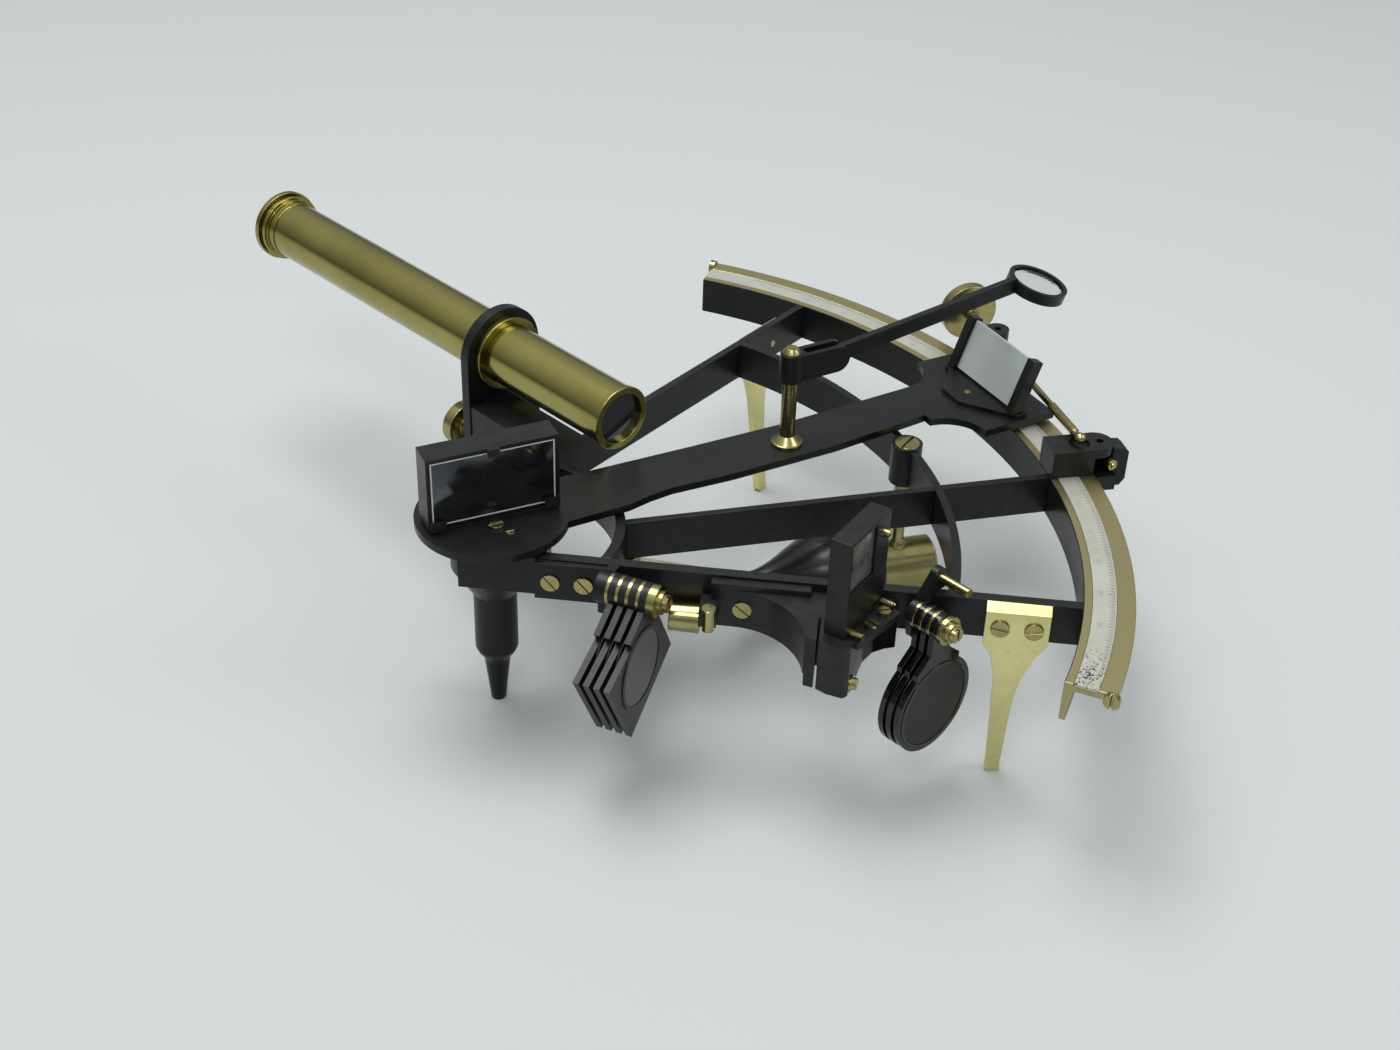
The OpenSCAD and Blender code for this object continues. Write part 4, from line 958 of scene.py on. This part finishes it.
@dataclass
class ShadeSet:
    """A stack of dark glasses on one pivot, each on a body of its own."""

    finishes: Finishes
    kind: str
    count: int
    body: str
    edge: float = 0.22

    def build(self, frame: dict) -> None:
        """Builds each shade as a lacquered plate with its glass."""
        f = self.finishes
        for number in range(1, self.count + 1):
            coat = Coat(
                f"{self.kind}_shade_{number}", f"{self.body}_{number}", Slot.BLACK, f.shade_black, self.edge
            )
            paint_island(coat.build(frame, "plate"), f.dark_glass)


@dataclass
class TelescopeSet:
    """The telescope on its rising piece; the stop is a ring of radii and heights on its axis."""

    finishes: Finishes
    azimuth: float = -68.6
    offset: float = 55.7
    height: float = 88.0
    edge: float = 0.25
    stop: tuple[Pair, ...] = ((6.2, -14.9), (8.15, -14.9), (8.15, -4.2), (7.4, -4.2), (6.2, -6.0))

    def axis_place(self) -> Place:
        """The place on the optical axis that is nearest to the index axis."""
        side = heading(self.azimuth + 90)
        origin = (side * self.offset + Vector((0, 0, self.height))) * MM
        return Place(origin, heading(self.azimuth))

    def build(self, frame: dict) -> None:
        """Builds the tube, its ring and its glasses."""
        f = self.finishes
        for node, body, slot, finish in (
            ("telescope_riser", "telescope", Slot.BLACK, f.black),
            ("telescope_collar", "telescope", Slot.TUBE, f.tube_brass),
            ("telescope_tube", "telescope", Slot.TUBE, f.tube_brass),
            ("objective_cell", "telescope", Slot.TUBE, f.tube_brass),
            ("eyepiece_tube", "eyepiece", Slot.TUBE, f.tube_brass),
            ("riser_knob", "height_knob", Slot.BRASS, f.old_brass),
        ):
            Coat(node, body, slot, finish, self.edge).build(frame, "turned")
        # The objective lens gets the painted-shade black, not clear glass, so the tube's shaded inside is
        # painted on it
        paint_node(frame, "objective_lens", f.objective)
        paint_node(frame, "eyepiece_lens", f.clear)
        stop = turned("objective_stop", self.stop, self.axis_place())
        dress(stop, "telescope", Slot.BLACK, f.socket)


@dataclass
class IndexArmSet:
    """The index arm with its mirror, vernier, reflector and pillar.

    The mirror's rim is placed along and aside from the index axis, in front of the glass.
    """

    finishes: Finishes
    edge: float = 0.28
    mirror_az: float = 1.9
    mirror_w: float = 41.1
    mirror_h: float = 23.1
    mirror_front: float = 4.52
    mirror_mid: float = 89.1
    mirror_shift: Pair = (-0.5, 0.3)
    rim_w: float = 0.45
    rim_t: float = 0.1

    def build(self, frame: dict) -> None:
        """Builds the arm and all that it carries."""
        f = self.finishes
        for node, slot, finish in (
            ("index_arm", Slot.BLACK, f.black),
            ("mirror_box", Slot.BLACK, f.black),
            ("reflector_base", Slot.BLACK, f.black),
            ("tangent_lug", Slot.BLACK, f.black),
            ("magnifier_pillar", Slot.OLD_BRASS, f.old_brass),
            ("mirror_screws", Slot.OLD_BRASS, f.old_brass),
        ):
            piece = Coat(node, "arm", slot, finish, self.edge).build(frame, "worked")
            if node == "reflector_base":
                paint_island(piece, f.old_brass)
        paint_node(frame, "arm_axle", f.steel)
        paint_node(frame, "vernier", f.silver)
        paint_node(frame, "reflector_screen", f.ground)
        paint_node(frame, "index_mirror", f.mirror)
        self.mirror_rim()

    def mirror_rim(self) -> None:
        """The ground white rim of the mirror's glass: a sheet inset to a thin frame and thickened."""
        deselect()
        bpy.ops.mesh.primitive_plane_add(size=1, location=(0, 0, 0))
        rim = bpy.context.object
        rim.name = "mirror_rim"
        rim.scale = (self.mirror_w * MM, self.mirror_h * MM, 1)
        settle(rim)
        bpy.ops.object.mode_set(mode="EDIT")
        bpy.ops.mesh.select_all(action="SELECT")
        bpy.ops.mesh.inset(thickness=self.rim_w * MM)
        bpy.ops.mesh.delete(type="FACE")
        bpy.ops.object.mode_set(mode="OBJECT")
        modify(rim, "SOLIDIFY", thickness=self.rim_t * MM, offset=1)
        across = heading(self.mirror_az)
        out = across.cross(UP)
        along, aside = self.mirror_shift
        spot = (across * along + heading(self.mirror_az + 90) * aside) + out * self.mirror_front
        axes = Matrix((across, UP, out)).transposed().to_4x4()
        spot.z = self.mirror_mid
        rim.data.transform(Matrix.Translation(spot * MM) @ axes)
        dress(rim, "arm", Slot.MIRROR, self.finishes.mirror_edge)


@dataclass
class MagnifierSet:
    """The reading magnifier on its pillar."""

    finishes: Finishes
    lens_edge: float = 0.9
    lens_segments: int = 4

    def build(self, frame: dict) -> None:
        """Builds the hub, the arm and the lens."""
        f = self.finishes
        Coat("magnifier_hub", "lens_hub", Slot.BLACK, f.black).build(frame, "worked")
        Coat("magnifier_arm", "lens_arm", Slot.BLACK, f.black).build(frame, "worked")
        lens = Coat("magnifier_lens", "lens_arm", Slot.GLASS, f.clear, self.lens_edge, self.lens_segments)
        lens.build(frame, "ground")


@dataclass
class ClampSet:
    """The clamp on the limb with its screws.

    The tangent screw's ball and knob are placed by an azimuth from the arm's and by a radius. Its rings
    are radii and heights over the knob's outer face.
    """

    finishes: Finishes
    arm_az: float = 5.9
    ball: Pair = (-16.4694, 198.80)
    knob: Pair = (9.7724, 212.686)
    knob_half: float = 2.0
    rod_z: float = 83.0
    screw_edge: float = 0.2
    rings: tuple[Pair, ...] = (
        (0, 0.0), (9.6, 0.0), (9.6, 0.25), (8.6, 0.3), (8.3, 0.08), (7.9, 0.08), (7.6, 0.3), (6.2, 0.34),
        (5.9, 0.1), (5.4, 0.1), (5.1, 0.36), (3.2, 0.4), (2.9, 0.15), (2.4, 0.15), (2.1, 0.5), (0, 0.6),
    )

    def build(self, frame: dict) -> None:
        """Builds the clamp, its knob and the tangent screw."""
        f = self.finishes
        Coat("clamp_block", "clamp", Slot.BLACK, f.black).build(frame, "worked")
        paint_node(frame, "clamp_spring", f.old_brass)
        screw = Coat("clamp_screw", "clamp_knob", Slot.OLD_BRASS, f.old_brass, self.screw_edge)
        screw.build(frame, "turned")
        Coat("tangent_screw", "fine_screw", Slot.BRASS, f.old_brass).build(frame, "turned")
        rings = turned("tangent_knob_rings", self.rings, self.knob_place())
        dress(rings, "fine_screw", Slot.BRASS, f.ferrule_brass)

    def knob_place(self) -> Place:
        """The outer face of the tangent screw's knob."""
        ball = heading(self.arm_az + self.ball[0]) * self.ball[1]
        knob = heading(self.arm_az + self.knob[0]) * self.knob[1]
        way = (knob - ball).normalized()
        origin = (knob + way * self.knob_half + Vector((0, 0, self.rod_z))) * MM
        return Place(origin, way)


@dataclass(frozen=True)
class Lamp:
    """A square softbox: its place and side in metres and its power in watts."""

    name: str
    spot: Triple
    size: float
    power: float


@dataclass
class Studio:
    """The pale floor, the soft lamps, the air and the camera, all in metres."""

    eye: Triple = (-0.146732, -0.497607, 0.421740)
    right: Triple = (0.92232527, -0.38532557, 0.02898789)
    up: Triple = (0.19419559, 0.5270717, 0.82733518)
    ahead: Triple = (0.33407209, 0.75744282, -0.56096008)
    lens: float = 49.88
    sensor: float = 36
    clip: Pair = (0.01, 50)
    floor_size: float = 12
    floor_place: Triple = (0, 2, 0)
    floor_colour: Triple = (0.47, 0.49, 0.485)
    floor_share: float = 0.97
    floor_cloud: Grain = Grain(1.2, 2)
    floor_span: Span = Span(0.3, 0.7)
    floor_rough: float = 0.95
    air: Span = Span(0.05, 0.8, 0.16, 0.7)
    air_colour: Triple = (0.94, 0.975, 1)
    far_colour: Triple = (0.6, 0.64, 0.635)
    aim: Triple = (0.1, 0, 0.05)
    lamps: tuple[Lamp, ...] = (
        Lamp("overhead softbox", (-0.1, 0.3, 1.5), 0.9, 17.0),
        Lamp("front softbox", (-0.45, -0.75, 1.25), 0.45, 5.0),
        Lamp("right softbox", (1.1, -0.7, 1.0), 0.6, 4.5),
    )

    def build(self) -> None:
        """Builds floor, light, air and camera."""
        self.floor()
        self.light()
        self.sky()
        self.camera()

    def floor(self) -> None:
        """A pale flat sheet under the instrument and far behind it."""
        deselect()
        bpy.ops.mesh.primitive_plane_add(size=self.floor_size, location=self.floor_place)
        sheet = bpy.context.object
        sheet.name = "studio_sheet"
        settle(sheet)
        paint = Shader("studio paper")
        cloud = paint.remap(paint.noise(self.floor_cloud), self.floor_span)
        deeper = tuple(self.floor_share * c for c in self.floor_colour)
        paint.colour(paint.mix(cloud, self.floor_colour, deeper))
        paint.set(Roughness=self.floor_rough)
        sheet.data.materials.append(paint.material)

    def light(self) -> None:
        """Soft lamps aimed at the instrument."""
        for lamp in self.lamps:
            data = bpy.data.lights.new(lamp.name, "AREA")
            data.shape = "SQUARE"
            data.size = lamp.size
            data.energy = lamp.power
            made = bpy.data.objects.new(lamp.name, data)
            made.location = lamp.spot
            aim = Vector(self.aim) - Vector(lamp.spot)
            made.rotation_euler = aim.to_track_quat("-Z", "Y").to_euler()
            bpy.context.scene.collection.objects.link(made)

    def sky(self) -> None:
        """Air that grows brighter overhead, and a pale distance where the camera sees past the floor."""
        world = bpy.data.worlds.new("studio air")
        world.use_nodes = True
        tree = world.node_tree
        backdrop = tree.nodes["Background"]
        backdrop.inputs["Color"].default_value = (*self.air_colour, 1)
        way = tree.nodes.new("ShaderNodeTexCoord")
        split = tree.nodes.new("ShaderNodeSeparateXYZ")
        rise = tree.nodes.new("ShaderNodeMapRange")
        rise.inputs["From Min"].default_value = self.air.low
        rise.inputs["From Max"].default_value = self.air.high
        rise.inputs["To Min"].default_value = self.air.out_low
        rise.inputs["To Max"].default_value = self.air.out_high
        far = tree.nodes.new("ShaderNodeBackground")
        far.inputs["Color"].default_value = (*self.far_colour, 1)
        seen = tree.nodes.new("ShaderNodeLightPath")
        both = tree.nodes.new("ShaderNodeMixShader")
        for source, target in (
            (way.outputs["Generated"], split.inputs[0]),
            (split.outputs["Z"], rise.inputs["Value"]),
            (rise.outputs["Result"], backdrop.inputs["Strength"]),
            (seen.outputs["Is Camera Ray"], both.inputs[0]),
            (backdrop.outputs[0], both.inputs[1]),
            (far.outputs[0], both.inputs[2]),
            (both.outputs[0], tree.nodes["World Output"].inputs["Surface"]),
        ):
            tree.links.new(source, target)
        bpy.context.scene.world = world

    def camera(self) -> None:
        """The camera of the photograph."""
        data = bpy.data.cameras.new("camera")
        data.sensor_width = self.sensor
        data.lens = self.lens
        data.clip_start, data.clip_end = self.clip
        eye = bpy.data.objects.new("camera", data)
        axes = Matrix((Vector(self.right), Vector(self.up), -Vector(self.ahead))).transposed()
        eye.matrix_world = Matrix.Translation(self.eye) @ axes.to_4x4()
        bpy.context.scene.collection.objects.link(eye)
        bpy.context.scene.camera = eye


def main() -> None:
    """Builds every sub-assembly in order."""
    logging.basicConfig(level=logging.INFO, format="%(name)s: %(message)s")
    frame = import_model()
    bpy.context.scene.view_settings.view_transform = "Standard"
    finishes = Finishes()
    parts = (
        LimbAndScale(finishes),
        FrameCasting(finishes),
        HandleSet(finishes),
        HorizonGlassSet(finishes),
        ShadeSet(finishes, "index", 4, "square"),
        ShadeSet(finishes, "horizon", 3, "round"),
        TelescopeSet(finishes),
        IndexArmSet(finishes),
        MagnifierSet(finishes),
        ClampSet(finishes),
    )
    for part in parts:
        part.build(frame)
        log.info("built %s", type(part).__name__)
    Studio().build()


if __name__ == "__main__":
    main()
